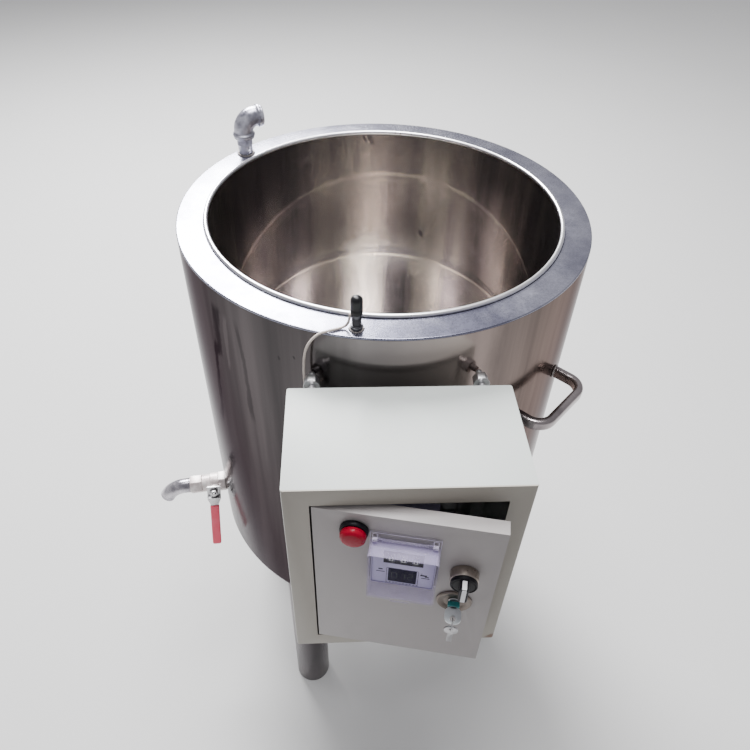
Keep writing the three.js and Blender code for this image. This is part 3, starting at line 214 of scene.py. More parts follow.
@dataclass(frozen=True)
class Layer:
    """One layer of noise on a surface, with scale spots in a metre, finer along each axis by its stretch.

    The values in shows become 0 and 1, and with None the noise is used as it is.
    """

    scale: float
    stretch: Point = (1, 1, 1)
    detail: float = 3.0
    rough: float = 0.55
    shows: Span | None = None


CHIPPED_EDGES = Layer(60, detail=4, shows=(0.35, 0.6))
BLOTCHES = Layer(9, detail=4, shows=(0.35, 0.68))
LEVEL_SCRATCHES = Layer(70, (1, 1, 14), 5, 0.7, (0.62, 0.75))
UPRIGHT_SCRATCHES = Layer(80, (12, 9, 1), 4, 0.7, (0.64, 0.76))
STREAKS = Layer(16, (1, 1, 0.05), 5, 0.6, (0.3, 0.72))
BRUSHING = Layer(420, (1, 1, 0.02), 2)
WAVER = Layer(22, (1, 1, 0.35), 5, 0.7)
SMUDGES = Layer(26, detail=5, rough=0.65, shows=(0.5, 0.8))
DENTS = Layer(7, (1, 1, 0.4), 1)
ORANGE_PEEL = Layer(900, detail=2)
STAINS = Layer(11, (1, 1, 0.45), 6, 0.62, (0.45, 0.75))
SPECKS = Layer(160, detail=1, shows=(0.76, 0.8))
RUST_EDGE = Layer(140, detail=4)
SCUFFS = Layer(38, detail=4, shows=(0.4, 0.75))
HAZE = Layer(45, detail=5, rough=0.7, shows=(0.5, 0.8))
FLOOR_CLOUD = Layer(1.2)


class ShaderTree:
    """The node tree of one material, with a Principled surface at its end."""

    def __init__(self, name: str) -> None:
        """Makes an empty material.

        Args:
            name: The material's name.
        """
        self.material = bpy.data.materials.new(name)
        self.material.use_nodes = True
        self.tree = self.material.node_tree
        self.tree.nodes.clear()
        self.output = self.node("ShaderNodeOutputMaterial", {}, {})
        self.surface = self.node("ShaderNodeBsdfPrincipled", {}, {})
        self.tree.links.new(self.surface.outputs[0], self.output.inputs[0])
        self.place = Signal(self, self.node("ShaderNodeTexCoord", {}, {}).outputs["Object"])

    def node(self, kind: str, settings: Mapping[str, object], sockets: Mapping[object, object]) -> Node:
        """Adds a node, whose sockets may be given signals."""
        plain = {key: value.socket if isinstance(value, Signal) else value for key, value in sockets.items()}
        return add_node(self.tree, kind, settings, plain)

    def layer(self, layer: Layer) -> Signal:
        """Lays a layer of noise over the piece.

        Args:
            layer: The layer.

        Returns:
            The noise, about 0.5 in the middle, or the mask of what shows.
        """
        put = self.node("ShaderNodeMapping", {}, {0: self.place, 3: layer.stretch})
        made = self.node("ShaderNodeTexNoise", {}, {
            0: Signal(self, put.outputs[0]), "Scale": layer.scale, "Detail": layer.detail, "Roughness": layer.rough})
        noise = Signal(self, made.outputs[0])
        return noise.ramp(*layer.shows) if layer.shows else noise

    def axes(self) -> tuple[Signal, Signal, Signal]:
        """The place on the object along X, Y and Z, in metres."""
        made = self.node("ShaderNodeSeparateXYZ", {}, {0: self.place})
        return Signal(self, made.outputs[0]), Signal(self, made.outputs[1]), Signal(self, made.outputs[2])

    def blend(self, share: Operand, low: Colour, high: Colour, kind: str = "MIX") -> Signal:
        """Mixes two colours by a share from 0 to 1.

        Args:
            share: The mask.
            low: Colour where the mask is 0.
            high: Colour where the mask is 1.
            kind: Blend type.

        Returns:
            The colour.
        """
        first, second = (c if isinstance(c, Signal) else (*c, 1.0) for c in (low, high))
        settings = {"data_type": "RGBA", "blend_type": kind}
        made = self.node("ShaderNodeMix", settings, {0: share, 6: first, 7: second})
        return Signal(self, made.outputs[2])

    def edges(self, patchy: float = 1.0) -> Signal:
        """A mask of the eased edges, of which the share patchy comes and goes in patches."""
        made = self.node("ShaderNodeAttribute", {"attribute_name": WEAR_AND_SHEEN, "attribute_type": "GEOMETRY"}, {})
        return Signal(self, made.outputs["Fac"]) * (self.layer(CHIPPED_EDGES) * patchy + (1.0 - patchy))

    def bump(self, height: Signal, depth: float) -> None:
        """Feeds a height in 0 to 1 to the surface's normal, with its real depth in metres."""
        made = self.node("ShaderNodeBump", {}, {"Strength": 1.0, "Distance": depth, "Height": height})
        self.tree.links.new(made.outputs[0], self.surface.inputs["Normal"])

    def feed(self, **values: object) -> None:
        """Sets or links the surface's sockets, where an underscore in a key stands for a space in a name."""
        for key, value in values.items():
            socket = self.surface.inputs[key.replace("_", " ")]
            if isinstance(value, Signal):
                self.tree.links.new(value.socket, socket)
            else:
                socket.default_value = value


def lighter(colour: Rgb, gain: float) -> Rgb:
    """A colour times a gain, clipped at 1."""
    return tuple(min(1.0, c * gain) for c in colour)


# Finishes


@dataclass(frozen=True)
class SteelFinish:
    """Bare stainless, zinc-plated or cast metal with soft blotches, scratches and a grain."""

    name: str
    slot: str
    colour: Rgb
    shade: Rgb
    rough: float
    grain: Point = (1, 1, 1)
    grain_scale: float = 300.0
    grain_depth: float = 0.00002
    scratches: float = 0.5
    metal: float = 1.0
    mottle: float = 9.0
    blotch_share: float = 0.8
    grain_share: float = 0.2
    scratch_share: float = 0.35
    scratch_gain: float = 1.35
    scratch_height: float = 0.5
    rough_by_grain: float = 0.16
    rough_by_blotch: float = 0.08
    rough_by_scratch: float = 0.1

    def build(self) -> Material:
        """Makes the material.

        Returns:
            The material.
        """
        tree = ShaderTree(self.name)
        cloud = tree.layer(replace(BLOTCHES, scale=self.mottle))
        fine = tree.layer(Layer(self.grain_scale, self.grain, 2))
        wear = (tree.layer(LEVEL_SCRATCHES) + tree.layer(UPRIGHT_SCRATCHES)) * self.scratches
        base = tree.blend(cloud * self.blotch_share + fine * self.grain_share, self.shade, self.colour)
        lit = tree.blend(wear * self.scratch_share, base, lighter(self.colour, self.scratch_gain))
        rough = self.rough + (fine - 0.5) * self.rough_by_grain + cloud * self.rough_by_blotch
        tree.feed(Base_Color=lit, Metallic=self.metal, Roughness=rough + wear * self.rough_by_scratch)
        tree.bump(fine + wear * self.scratch_height, self.grain_depth)
        return tree.material


@dataclass(frozen=True)
class Stroke:
    """A stroke on a drum, from its top to its foot, each given as (azimuth in degrees, height in metres).

    The width is half the stroke, in degrees, and a negative gain makes it darker. A stroke paints a
    streak of reflection or a handling mark into the colour.
    """

    top: tuple[float, float]
    foot: tuple[float, float]
    width: float
    gain: float
    ragged: float = 2.0

    def mask(self, azimuth: Signal, z: Signal, waver: Signal) -> Signal:
        """Where the stroke lies.

        Args:
            azimuth: Azimuth on the drum, in degrees.
            z: Height on the drum.
            waver: Noise about 0 that makes the stroke ragged.

        Returns:
            The mask, which fades at both sides and both ends.
        """
        along = (z - self.foot[1]) / (self.top[1] - self.foot[1])
        centre = along * (self.top[0] - self.foot[0]) + self.foot[0]
        off = (azimuth + waver * self.ragged - centre) / self.width
        return off.bell(0.1) * along.ramp(-0.1, 0.1) * (1.0 - along.ramp(0.9, 1.1))


@dataclass(frozen=True)
class ShellFinish:
    """Polished sheet rolled to a drum: upright streaks, fine handling marks and reflections painted into its colour.

    Azimuths are in degrees, from the front or, with from_back, from the back. A band is (azimuth, half width,
    gain), a painted reflection that makes the colour lighter or darker. A ring is (height, sag, half width, gain),
    a painted arc of reflection: it is highest at the azimuth reflection_arc_peak, and lower by its sag at sag_reach
    degrees from there. The warm_reflection colour paints a warmer reflection over a span of azimuths.
    """

    name: str
    slot: str
    light: Rgb
    # Second light colour: a warmer reflection painted over a span of azimuths.
    warm_reflection: Rgb
    dark: Rgb
    rough: float
    # Painted reflections: lighter and darker upright stripes and streaks; some streaks are handling marks.
    reflection_bands: tuple[tuple[float, float, float], ...] = ()
    reflection_and_mark_strokes: tuple[Stroke, ...] = ()
    streak_share: float = 1.0
    edge_tint: Rgb = (1, 1, 1)
    bright_above: float = 0.0
    from_back: bool = False
    # Painted arcs of reflection.
    rings: tuple[tuple[float, float, float, float], ...] = ()
    reflection_arc_peak: float = 0.0
    sag_reach: float = 50.0
    waver_share: float = 0.3
    foot_fade: Span = (0.002, 0.03)
    warm_reflection_from: Span = (-10, 50)
    warm_reflection_until: Span = (95, 165)
    rough_by_smudge: float = 0.06
    rough_by_brushing: float = 0.1
    bright_fade: float = 0.0008
    bright_colour: Rgb = (0.95, 0.95, 0.98)
    bright_rough: float = 0.1
    dent_height: float = 6.0
    depth: float = 0.00001

    def with_painted_reflections(self, tone: Signal, azimuth: Signal, z: Signal, waver: Signal) -> Signal:
        """Paints reflections into the tone as stripes, streaks and arcs; some streaks are handling marks.

        Args:
            tone: Tone of the bare sheet, from 0, dark, to 1, light.
            azimuth: Azimuth on the drum, in degrees.
            z: Height on the drum.
            waver: Noise about 0 that makes the marks ragged.

        Returns:
            The tone with its painted reflections and marks.
        """
        upright = z.ramp(*self.foot_fade) if self.from_back else 1.0
        # Painted reflections: upright stripes of lighter and darker colour by azimuth.
        for centre, width, gain in self.reflection_bands:
            off = (azimuth + waver * (width * self.waver_share) - centre) / width
            tone = tone + off.bell() * gain * upright
        # Painted streaks of reflection, and handling marks.
        for stroke in self.reflection_and_mark_strokes:
            tone = tone + stroke.mask(azimuth, z, waver) * stroke.gain
        # Painted arcs of reflection, which sag away from their peak.
        for height, sag, width, gain in self.rings:
            aside = azimuth - self.reflection_arc_peak
            drop = aside * aside * (sag / self.sag_reach**2)
            tone = tone + ((z + drop + waver * (width * self.waver_share) - height) / width).bell() * gain
        return tone.ramp(-0.1, 1.1, smooth=False)

    def build(self) -> Material:
        """Makes the material.

        Returns:
            The material.
        """
        tree = ShaderTree(self.name)
        x, y, z = tree.axes()
        turn = tree.node("ShaderNodeMath", {"operation": "ARCTAN2"}, {0: x, 1: y if self.from_back else y * -1.0})
        azimuth = Signal(tree, turn.outputs[0]) * (180 / math.pi)
        fine = tree.layer(BRUSHING)
        bare = 0.5 + (tree.layer(STREAKS) - 0.5) * self.streak_share
        tone = self.with_painted_reflections(bare, azimuth, z, tree.layer(WAVER) - 0.5)
        # Painted reflection: a warmer colour over a span of azimuths.
        warm_reflection_share = azimuth.ramp(*self.warm_reflection_from) * (1.0 - azimuth.ramp(*self.warm_reflection_until))
        colour = tree.blend(tone, self.dark, tree.blend(warm_reflection_share, self.light, self.warm_reflection))
        rough = self.rough + tree.layer(SMUDGES) * self.rough_by_smudge + (fine - 0.5) * self.rough_by_brushing
        if self.bright_above:
            bead = z.ramp(self.bright_above, self.bright_above + self.bright_fade)
            colour, rough = tree.blend(bead, colour, self.bright_colour), rough + bead * self.bright_rough
        tree.feed(Base_Color=colour, Metallic=1.0, Roughness=rough, Specular_Tint=(*self.edge_tint, 1.0))
        tree.bump(fine + tree.layer(DENTS) * self.dent_height, self.depth)
        return tree.material


@dataclass(frozen=True)
class CoatFinish:
    """Powder coat or paint: fine orange peel, faint dirt and worn corners.

    From the distance front before the origin the coat takes the front shade tint, a painted shade that makes its
    front darker and warmer than its top, and rust_at is the (x, z) of a spot where it has rusted.
    """

    name: str
    slot: str
    colour: Rgb
    dirt: Rgb
    rough: float
    peel: float = 0.00003
    dirt_share: float = 0.5
    front: float | None = None
    # Painted shade: the tint that darkens and warms the front.
    front_shade_tint: Rgb = (1, 1, 1)
    front_shade_fade: float = 0.0012
    rust_at: tuple[float, float] | None = None
    rust: Rgb = (0.16, 0.07, 0.03)
    rust_fade: Span = (0.003, 0.009)
    rust_ragged: float = 0.014
    rust_share: float = 0.85
    speck_share: float = 0.4
    edge_share: float = 0.6
    edge_gain: float = 1.18
    rough_by_stain: float = 0.12
    rough_by_peel: float = 0.08

    def build(self) -> Material:
        """Makes the material.

        Returns:
            The material.
        """
        tree = ShaderTree(self.name)
        peel = tree.layer(ORANGE_PEEL)
        stain = tree.layer(STAINS) * self.dirt_share
        base = tree.blend(stain + tree.layer(SPECKS) * self.speck_share, self.colour, self.dirt)
        lit = tree.blend(tree.edges() * self.edge_share, base, lighter(self.colour, self.edge_gain))
        x, y, z = tree.axes()
        if self.front is not None:
            # Painted shade: past the front distance the coat is tinted darker and warmer.
            front_shade = (y * -1.0).ramp(self.front - self.front_shade_fade, self.front)
            lit = tree.blend(front_shade, lit, tree.blend(1.0, lit, self.front_shade_tint, "MULTIPLY"))
        if self.rust_at:
            off_x, off_z = x - self.rust_at[0], z - self.rust_at[1]
            ragged = (tree.layer(RUST_EDGE) - 0.5) * self.rust_ragged
            spot = 1.0 - ((off_x * off_x + off_z * off_z) ** 0.5 + ragged).ramp(*self.rust_fade)
            lit = tree.blend(spot * self.rust_share, lit, self.rust)
        rough = self.rough + stain * self.rough_by_stain + (peel - 0.5) * self.rough_by_peel
        tree.feed(Base_Color=lit, Roughness=rough)
        tree.bump(peel, self.peel)
        return tree.material


@dataclass(frozen=True)
class PlasticFinish:
    """Moulded plastic or rubber with a spark-eroded grain, and scuffs on its edges."""

    name: str
    slot: str
    colour: Rgb
    scuff: Rgb
    rough: float
    grain: float = 1400.0
    depth: float = 0.00002
    shine: float = 0.5
    patchy: float = 1.0
    cloud_share: float = 0.3
    edge_share: float = 0.9
    rough_by_grain: float = 0.12
    rough_by_cloud: float = 0.07

    def build(self) -> Material:
        """Makes the material.

        Returns:
            The material.
        """
        tree = ShaderTree(self.name)
        grain = tree.layer(Layer(self.grain, detail=2))
        cloud = tree.layer(SCUFFS)
        scuffed = cloud * self.cloud_share * self.patchy + tree.edges(self.patchy) * self.edge_share
        rough = self.rough + (grain - 0.5) * self.rough_by_grain + cloud * self.rough_by_cloud
        base = tree.blend(scuffed, self.colour, self.scuff)
        tree.feed(Base_Color=base, Roughness=rough, Specular_IOR_Level=self.shine)
        tree.bump(grain, self.depth)
        return tree.material


@dataclass(frozen=True)
class ClearFinish:
    """Clear or tinted see-through plastic with faint scuffs and painted sheen on its edges. Its cover is the share of
    light that it stops.
    """

    name: str
    slot: str
    colour: Rgb
    cover: float
    rough: float
    glow: float = 0.0
    # Painted sheen: how much more opaque, and how pale, the eased edges become.
    edge_sheen_cover: float = 0.0
    shine: float = 0.5
    edge_sheen_colour: Rgb = (0.94, 0.88, 1.0)
    edge_share: float = 0.7
    edge_patchy: float = 0.2
    haze_cover: float = 0.02
    rough_by_haze: float = 0.08
    depth: float = 0.00001

    def build(self) -> Material:
        """Makes the material.

        Returns:
            The material.
        """
        tree = ShaderTree(self.name)
        haze = tree.layer(HAZE)
        # Painted sheen: the eased edges turn paler and more opaque, for the light that they catch.
        edge = tree.edges(self.edge_patchy)
        cover = (edge * self.edge_sheen_cover + haze * self.haze_cover + self.cover).ramp(0.0, 1.0, smooth=False)
        tree.feed(Base_Color=tree.blend(edge * self.edge_share, self.colour, self.edge_sheen_colour),
                  Roughness=self.rough + haze * self.rough_by_haze, Alpha=cover, Specular_IOR_Level=self.shine)
        if self.glow:
            tree.feed(Emission_Color=(*self.colour, 1.0), Emission_Strength=self.glow)
        tree.bump(haze, self.depth)
        return tree.material


Finish = Union[SteelFinish, ShellFinish, CoatFinish, PlasticFinish, ClearFinish]

# Painted reflections on the shell: a light left edge, darker stripes, light stripes in the middle and on the right,
# and a warmer right side; the dark streaks and dots are partly reflections, partly handling marks.
SHELL = ShellFinish(
    "shell_polish_painted_reflections", "polished_steel", (0.168, 0.149, 0.15), (0.46, 0.36, 0.315), (0.044, 0.041, 0.042), 0.17,
    reflection_bands=((-86, 9, 0.4), (-56, 18, -0.12), (-31, 15, -0.22), (6, 22, 0.9), (36, 16, -0.1), (74, 22, 0.7)),
    reflection_and_mark_strokes=(
        Stroke((-48.6, 0.492), (-51.8, 0.412), 2.4, -0.32, 7.0),
        Stroke((-52.4, 0.42), (-57.7, 0.262), 1.3, -0.3, 6.0),
        Stroke((-41.6, 0.483), (-39.7, 0.33), 1.0, -0.28, 5.0),
        Stroke((-45.5, 0.485), (-47, 0.4), 0.8, 0.25, 4.0),
        Stroke((-28.9, 0.467), (-28.7, 0.462), 0.3, -0.4, 0.6),
        Stroke((-24.8, 0.475), (-24.5, 0.471), 0.3, -0.4, 0.6),
    ), streak_share=0.5, edge_tint=(0.39, 0.375, 0.385))
# Painted reflections in the pot: light and dark upright stripes and streaks on its wall, arcs that stand for the near
# bead and floor edge seen in the wall, and a bright ring near its floor; a few small dark streaks are marks.
POT = ShellFinish(
    "pot_polish_painted_reflections", "polished_steel", (0.88, 0.83, 0.77), (0.88, 0.83, 0.77), (0.3, 0.28, 0.3), 0.19,
    reflection_bands=((-9, 8, 0.3), (12, 8, -0.25), (25, 6, 0.25), (33, 4, -0.2), (84, 32, -0.5), (-58, 32, -0.5)),
    reflection_and_mark_strokes=(
        Stroke((-9, 0.28), (-9, 0.05), 9, 0.35), Stroke((-34, 0.27), (-34, 0.05), 6, 0.45),
        Stroke((-25, 0.27), (-25, 0.05), 4, -0.3), Stroke((10, 0.28), (10, 0.05), 6, -0.35),
        Stroke((24, 0.28), (24, 0.05), 7, 0.4), Stroke((40, 0.27), (40, 0.05), 9, -0.5),
        Stroke((20.2, 0.347), (20.8, 0.335), 1.0, -1.6, 0.4),
        Stroke((-3, 0.517), (-1.5, 0.503), 1.0, -1.2, 2.0), Stroke((-5, 0.517), (-4.2, 0.507), 0.6, -1.2, 1.0),
    ), streak_share=0.6, bright_above=0.5184, from_back=True,
    rings=((0.289, 0.018, 0.004, 0.9), (0.297, 0.018, 0.012, -0.3), (0.45, 0.04, 0.005, 0.6),
           (0.438, 0.04, 0.01, 0.15), (0.006, 0.0, 0.006, 0.8)), reflection_arc_peak=9.0)
# Painted reflection of the sky on the rim: lighter and darker stripes round it.
RIM = ShellFinish(
    "rim_satin_painted_reflections", "satin_steel", (0.56, 0.565, 0.65), (0.52, 0.52, 0.62), (0.2, 0.2, 0.27), 0.27,
    reflection_bands=((8, 28, -0.65), (50, 16, 0.1), (96, 34, 0.4), (-178, 30, 0.1), (-110, 22, 0.2)), streak_share=0.8)
DARK_STEEL = SteelFinish("dark_tube", "dark_steel", (0.17, 0.15, 0.155), (0.08, 0.07, 0.075), 0.3, (1, 1, 0.05))
HANDLE_STEEL = SteelFinish(
    "handle_chrome", "dark_steel", (0.5, 0.45, 0.45), (0.2, 0.175, 0.18), 0.16, scratches=0.3)
CAST = SteelFinish(
    "cast_valve", "cast_steel", (1.0, 0.94, 0.92), (0.58, 0.5, 0.49), 0.38,
    grain_scale=500, grain_depth=0.00006, metal=0.3, mottle=60)
IRON = SteelFinish(
    "galvanised_elbow", "cast_steel", (0.8, 0.8, 0.9), (0.15, 0.145, 0.19), 0.3,
    grain_scale=260, grain_depth=0.00018, metal=0.75, mottle=42)
SPOUT_STEEL = SteelFinish(
    "spout_tube", "cast_steel", (0.74, 0.71, 0.75), (0.22, 0.21, 0.24), 0.22, metal=0.85, mottle=34)
ZINC = SteelFinish("zinc_plate", "zinc_steel", (0.7, 0.7, 0.71), (0.5, 0.49, 0.5), 0.32)
WELD = SteelFinish(
    "weld_seam", "satin_steel", (0.5, 0.47, 0.46), (0.22, 0.19, 0.18), 0.42, grain_scale=700, grain_depth=0.00008)
GOLD_WELD = SteelFinish(
    "floor_weld_bead", "satin_steel", (1.0, 0.93, 0.76), (0.72, 0.62, 0.46), 0.16,
    grain_scale=500, grain_depth=0.00003)
BRASS = SteelFinish("brass_plug", "brass", (0.62, 0.45, 0.2), (0.42, 0.29, 0.12), 0.34)
BRONZE = SteelFinish("bronze_plate", "bronze_metal", (0.34, 0.3, 0.26), (0.15, 0.125, 0.11), 0.32, metal=0.9)
SOCKET = SteelFinish("socket_black_oxide", "zinc_steel", (0.2, 0.2, 0.22), (0.05, 0.05, 0.055), 0.3)
COLLAR = SteelFinish("selector_collar_steel", "satin_steel", (0.5, 0.44, 0.39), (0.26, 0.22, 0.19), 0.26)
KEY_METAL = SteelFinish("nickel_key", "zinc_steel", (0.95, 0.99, 1.0), (0.72, 0.77, 0.79), 0.34, metal=0.3)
# The box's front face is tinted darker and warmer than its top as painted shade.
COAT = CoatFinish(
    "box_coat_painted_front_shade", "pale_coat", (0.5, 0.53, 0.515), (0.4, 0.41, 0.4), 0.45, dirt_share=0.35,
    front=0.4395, front_shade_tint=(0.72, 0.63, 0.56), rust_at=(0.123, 0.158))
# The door leaf's coat is the box's pale coat, darker and warmer as painted shade on the front.
SHADED_DOOR_COAT = CoatFinish("door_coat_painted_shade", "pale_coat", (0.36, 0.335, 0.33), (0.27, 0.25, 0.245), 0.42, dirt_share=0.4)
RED_VINYL = PlasticFinish("red_sleeve", "red_vinyl", (1.0, 0.1, 0.17), (1.0, 0.34, 0.42), 0.3, shine=0.35)
BLACK = PlasticFinish(
    "black_moulding", "black_plastic", (0.004, 0.0035, 0.006), (0.022, 0.02, 0.026), 0.4, shine=0.22)
RUBBER = PlasticFinish("black_rubber", "rubber", (0.005, 0.005, 0.006), (0.03, 0.03, 0.032), 0.35, shine=0.35)
LILAC = PlasticFinish("lilac_face", "lilac_plastic", (0.5, 0.46, 0.68), (0.56, 0.53, 0.7), 0.45, shine=0.25)
SCREEN = PlasticFinish(
    "screen_glass", "screen_plastic", (0.004, 0.004, 0.011), (0.006, 0.006, 0.014), 0.45,
    depth=0.000002, shine=0.04)
FIGURES = PlasticFinish(
    "display_bars", "screen_plastic", (0.05, 0.06, 0.05), (0.06, 0.07, 0.055), 0.5, shine=0.05)
# Its second colour, near black, darkens its eased edges into a dark outline.
CASE = PlasticFinish(
    "controller_moulding", "lilac_plastic", (0.46, 0.42, 0.6), (0.0, 0.0, 0.01), 0.45, shine=0.25, patchy=0.2)
GREY = PlasticFinish("grey_moulding", "grey_plastic", (0.5, 0.51, 0.5), (0.64, 0.65, 0.64), 0.4)
TEAL = PlasticFinish("teal_collar", "teal_plastic", (0.02, 0.22, 0.22), (0.08, 0.34, 0.33), 0.35)
WHITE_MARK = PlasticFinish("white_line", "black_plastic", (0.82, 0.82, 0.85), (0.9, 0.9, 0.9), 0.45)
SHEATH = PlasticFinish("lead_sheath", "pale_sheath", (0.6, 0.52, 0.47), (0.75, 0.68, 0.62), 0.5)
# The cover's eased edges and side walls take a pale, nearly opaque painted sheen.
CLEAR = ClearFinish(
    "clear_cover_painted_edge_sheen", "clear_plastic", (0.6, 0.52, 0.85), 0.02, 0.1, edge_sheen_cover=0.95, shine=0.08)
RED_LENS = ClearFinish("red_lens_plastic", "red_lens", (0.3, 0.001, 0.018), 0.96, 0.22, glow=0.03, shine=0.2)


class Palette:
    """Makes each finish's material once."""

    made: dict[str, Material] = {}

    @classmethod
    def material(cls, finish: Finish) -> Material:
        """The material of a finish."""
        if finish.name not in cls.made:
            cls.made[finish.name] = finish.build()
        return cls.made[finish.name]


# Mesh helpers

SHARP = 28.0
NEARLY_STRAIGHT = 165.0
SHORT_SIDE = 0.45
TINY = 1e-6
CREASE = 34.0
KEY_CREASE = 40.0
NODE_CREASE = 48.0
SOFT_CREASE = 50.0
BAR_CREASE = 60.0
MERGE_REACH = 0.000002
FLAT_WITHIN = 0.6


def arc(x: float, y: float, radius: float, start: float, end: float, steps: int) -> list[tuple[float, float]]:
    """Points of an arc, angles in degrees."""
    turns = [math.radians(start + (end - start) * i / steps) for i in range(steps + 1)]
    return [(x + radius * math.cos(a), y + radius * math.sin(a)) for a in turns]


def circle(radius: float, sides: int) -> list[tuple[float, float]]:
    """A closed circle about the origin."""
    return arc(0, 0, radius, 0, 360 * (sides - 1) / sides, sides - 1)


def hexagon(across: float) -> list[tuple[float, float]]:
    """A hexagon given across its flats."""
    return circle(across / math.sqrt(3), 6)


def eased(points: Outline, radius: float, steps: int = 3) -> list[tuple[float, float]]:
    """Rounds the corners of a closed outline. Corners on the axis, where the first number is 0, stay sharp.

    Args:
        points: The outline.
        radius: Radius of each corner, less where a side is short.
        steps: Parts of each corner.

    Returns:
        The rounded outline.
    """
    out: list[tuple[float, float]] = []
    count = len(points)
    for i, here in enumerate(points):
        corner = Vector(here)
        before, after = Vector(points[i - 1]) - corner, Vector(points[(i + 1) % count]) - corner
        bare = abs(here[0]) < TINY * MM or before.length < TINY or after.length < TINY
        between = math.pi if bare else before.angle(after)
        if between > math.radians(NEARLY_STRAIGHT):
            out.append(tuple(here))
            continue
        reach = min(radius / math.tan(between / 2), before.length * SHORT_SIDE, after.length * SHORT_SIDE)
        first, last = corner + before.normalized() * reach, corner + after.normalized() * reach
        for k in range(steps + 1):
            t = k / steps
            put = first * (1 - t) ** 2 + corner * (2 * t * (1 - t)) + last * t**2
            out.append((put.x, put.y))
    return out


def rounded_rectangle(width: float, height: float, radius: float,
                      middle: tuple[float, float] = (0.0, 0.0)) -> list[tuple[float, float]]:
    """A rectangle with round corners about its middle."""
    x, y, w, h = *middle, width / 2, height / 2
    return eased([(x + w, y + h), (x - w, y + h), (x - w, y - h), (x + w, y - h)], radius, 5)


def around(count: int) -> list[tuple[int, int]]:
    """Each number below a count, with the one after it on the way round."""
    return [(k, (k + 1) % count) for k in range(count)]


def through(points: Sequence[Point], steps: int) -> list[Vector]:
    """A smooth line through points.

    Args:
        points: The points.
        steps: Parts between two points.

    Returns:
        The line's points.
    """
    route = [Vector(p) for p in points]
    ends = [route[0] * 2 - route[1], *route, route[-1] * 2 - route[-2]]
    line: list[Vector] = []
    for i in range(1, len(ends) - 2):
        a, b, c, d = ends[i - 1 : i + 3]
        for k in range(steps):
            t = k / steps
            first, second, third = c - a, 2 * a - 5 * b + 4 * c - d, 3 * b - a - 3 * c + d
            line.append(0.5 * (2 * b + first * t + second * t**2 + third * t**3))
    return [*line, route[-1]]


def standing(origin: Point, along: Point, up: Point) -> Matrix:
    """A local frame.

    Args:
        origin: Its origin in millimetres.
        along: Direction of its X axis.
        up: Direction of its Z axis.

    Returns:
        The matrix from the local frame to the part's frame.
    """
    x, z = Vector(along).normalized(), Vector(up).normalized()
    y = z.cross(x)
    turn = Matrix((x, y, z)).transposed().to_4x4()
    return Matrix.Translation(origin) @ turn


def shifted(place: Matrix, x: float = 0.0, y: float = 0.0, z: float = 0.0) -> Matrix:
    """A frame moved along its own axes."""
    return place @ Matrix.Translation((x, y, z))


def spun(place: Matrix, turn: float, axis: Axis) -> Matrix:
    """A frame turned about one of its own axes, in degrees."""
    return place @ Matrix.Rotation(math.radians(turn), 4, axis.value.upper())


def polar(azimuth: float, radius: float, z: float) -> Point:
    """A place by its azimuth from the front towards the right, its radius and its height."""
    a = math.radians(azimuth)
    return radius * math.sin(a), -radius * math.cos(a), z


def outward(azimuth: float, z: float) -> Matrix:
    """A frame on the vessel's axis, whose X axis points out at an azimuth."""
    a = math.radians(azimuth - 90)
    return standing((0, 0, z), (math.cos(a), math.sin(a), 0), (0, 0, 1))


@dataclass(frozen=True)
class Profile:
    """A form to be turned: its closed outline, the parts of its circle and the radius of its corners.

    The outline's points are (radius, distance along the axis).
    """

    line: Outline
    facets: int
    ease: float = 0.0

    def at(self, along: float) -> "Profile":
        """The same profile further along the axis."""
        return replace(self, line=[(radius, spot + along) for radius, spot in self.line])


@dataclass(frozen=True)
class Slab:
    """A rounded rectangle raised between two heights, with eased edges."""

    width: float
    height: float
    corner: float
    span: Span
    ease: float = 0.0
    steps: int = 2
    middle: tuple[float, float] = (0.0, 0.0)


def ease_edges(mesh: bmesh.types.BMesh, faces: Iterable[bmesh.types.BMFace], ease: float, steps: int) -> None:
    """Rounds the sharp edges of some faces and notes the new faces as worn.

    Args:
        mesh: The mesh.
        faces: Faces whose edges are rounded.
        ease: Width of each rounded edge, in the mesh's unit.
        steps: Parts of each edge.
    """
    mesh.normal_update()
    sharp = list({
        e for f in faces for e in f.edges if e.is_manifold and e.calc_face_angle(0.0) > math.radians(SHARP)})
    bmesh.ops.bevel(mesh, geom=sharp, offset=ease, segments=steps, profile=0.5, affect="EDGES",
                    clamp_overlap=True, material=1)
    worn = mesh.faces.layers.float[WEAR_AND_SHEEN]
    for face in (f for f in mesh.faces if f.material_index == 1):
        face[worn] = 1.0
        face.material_index = 0


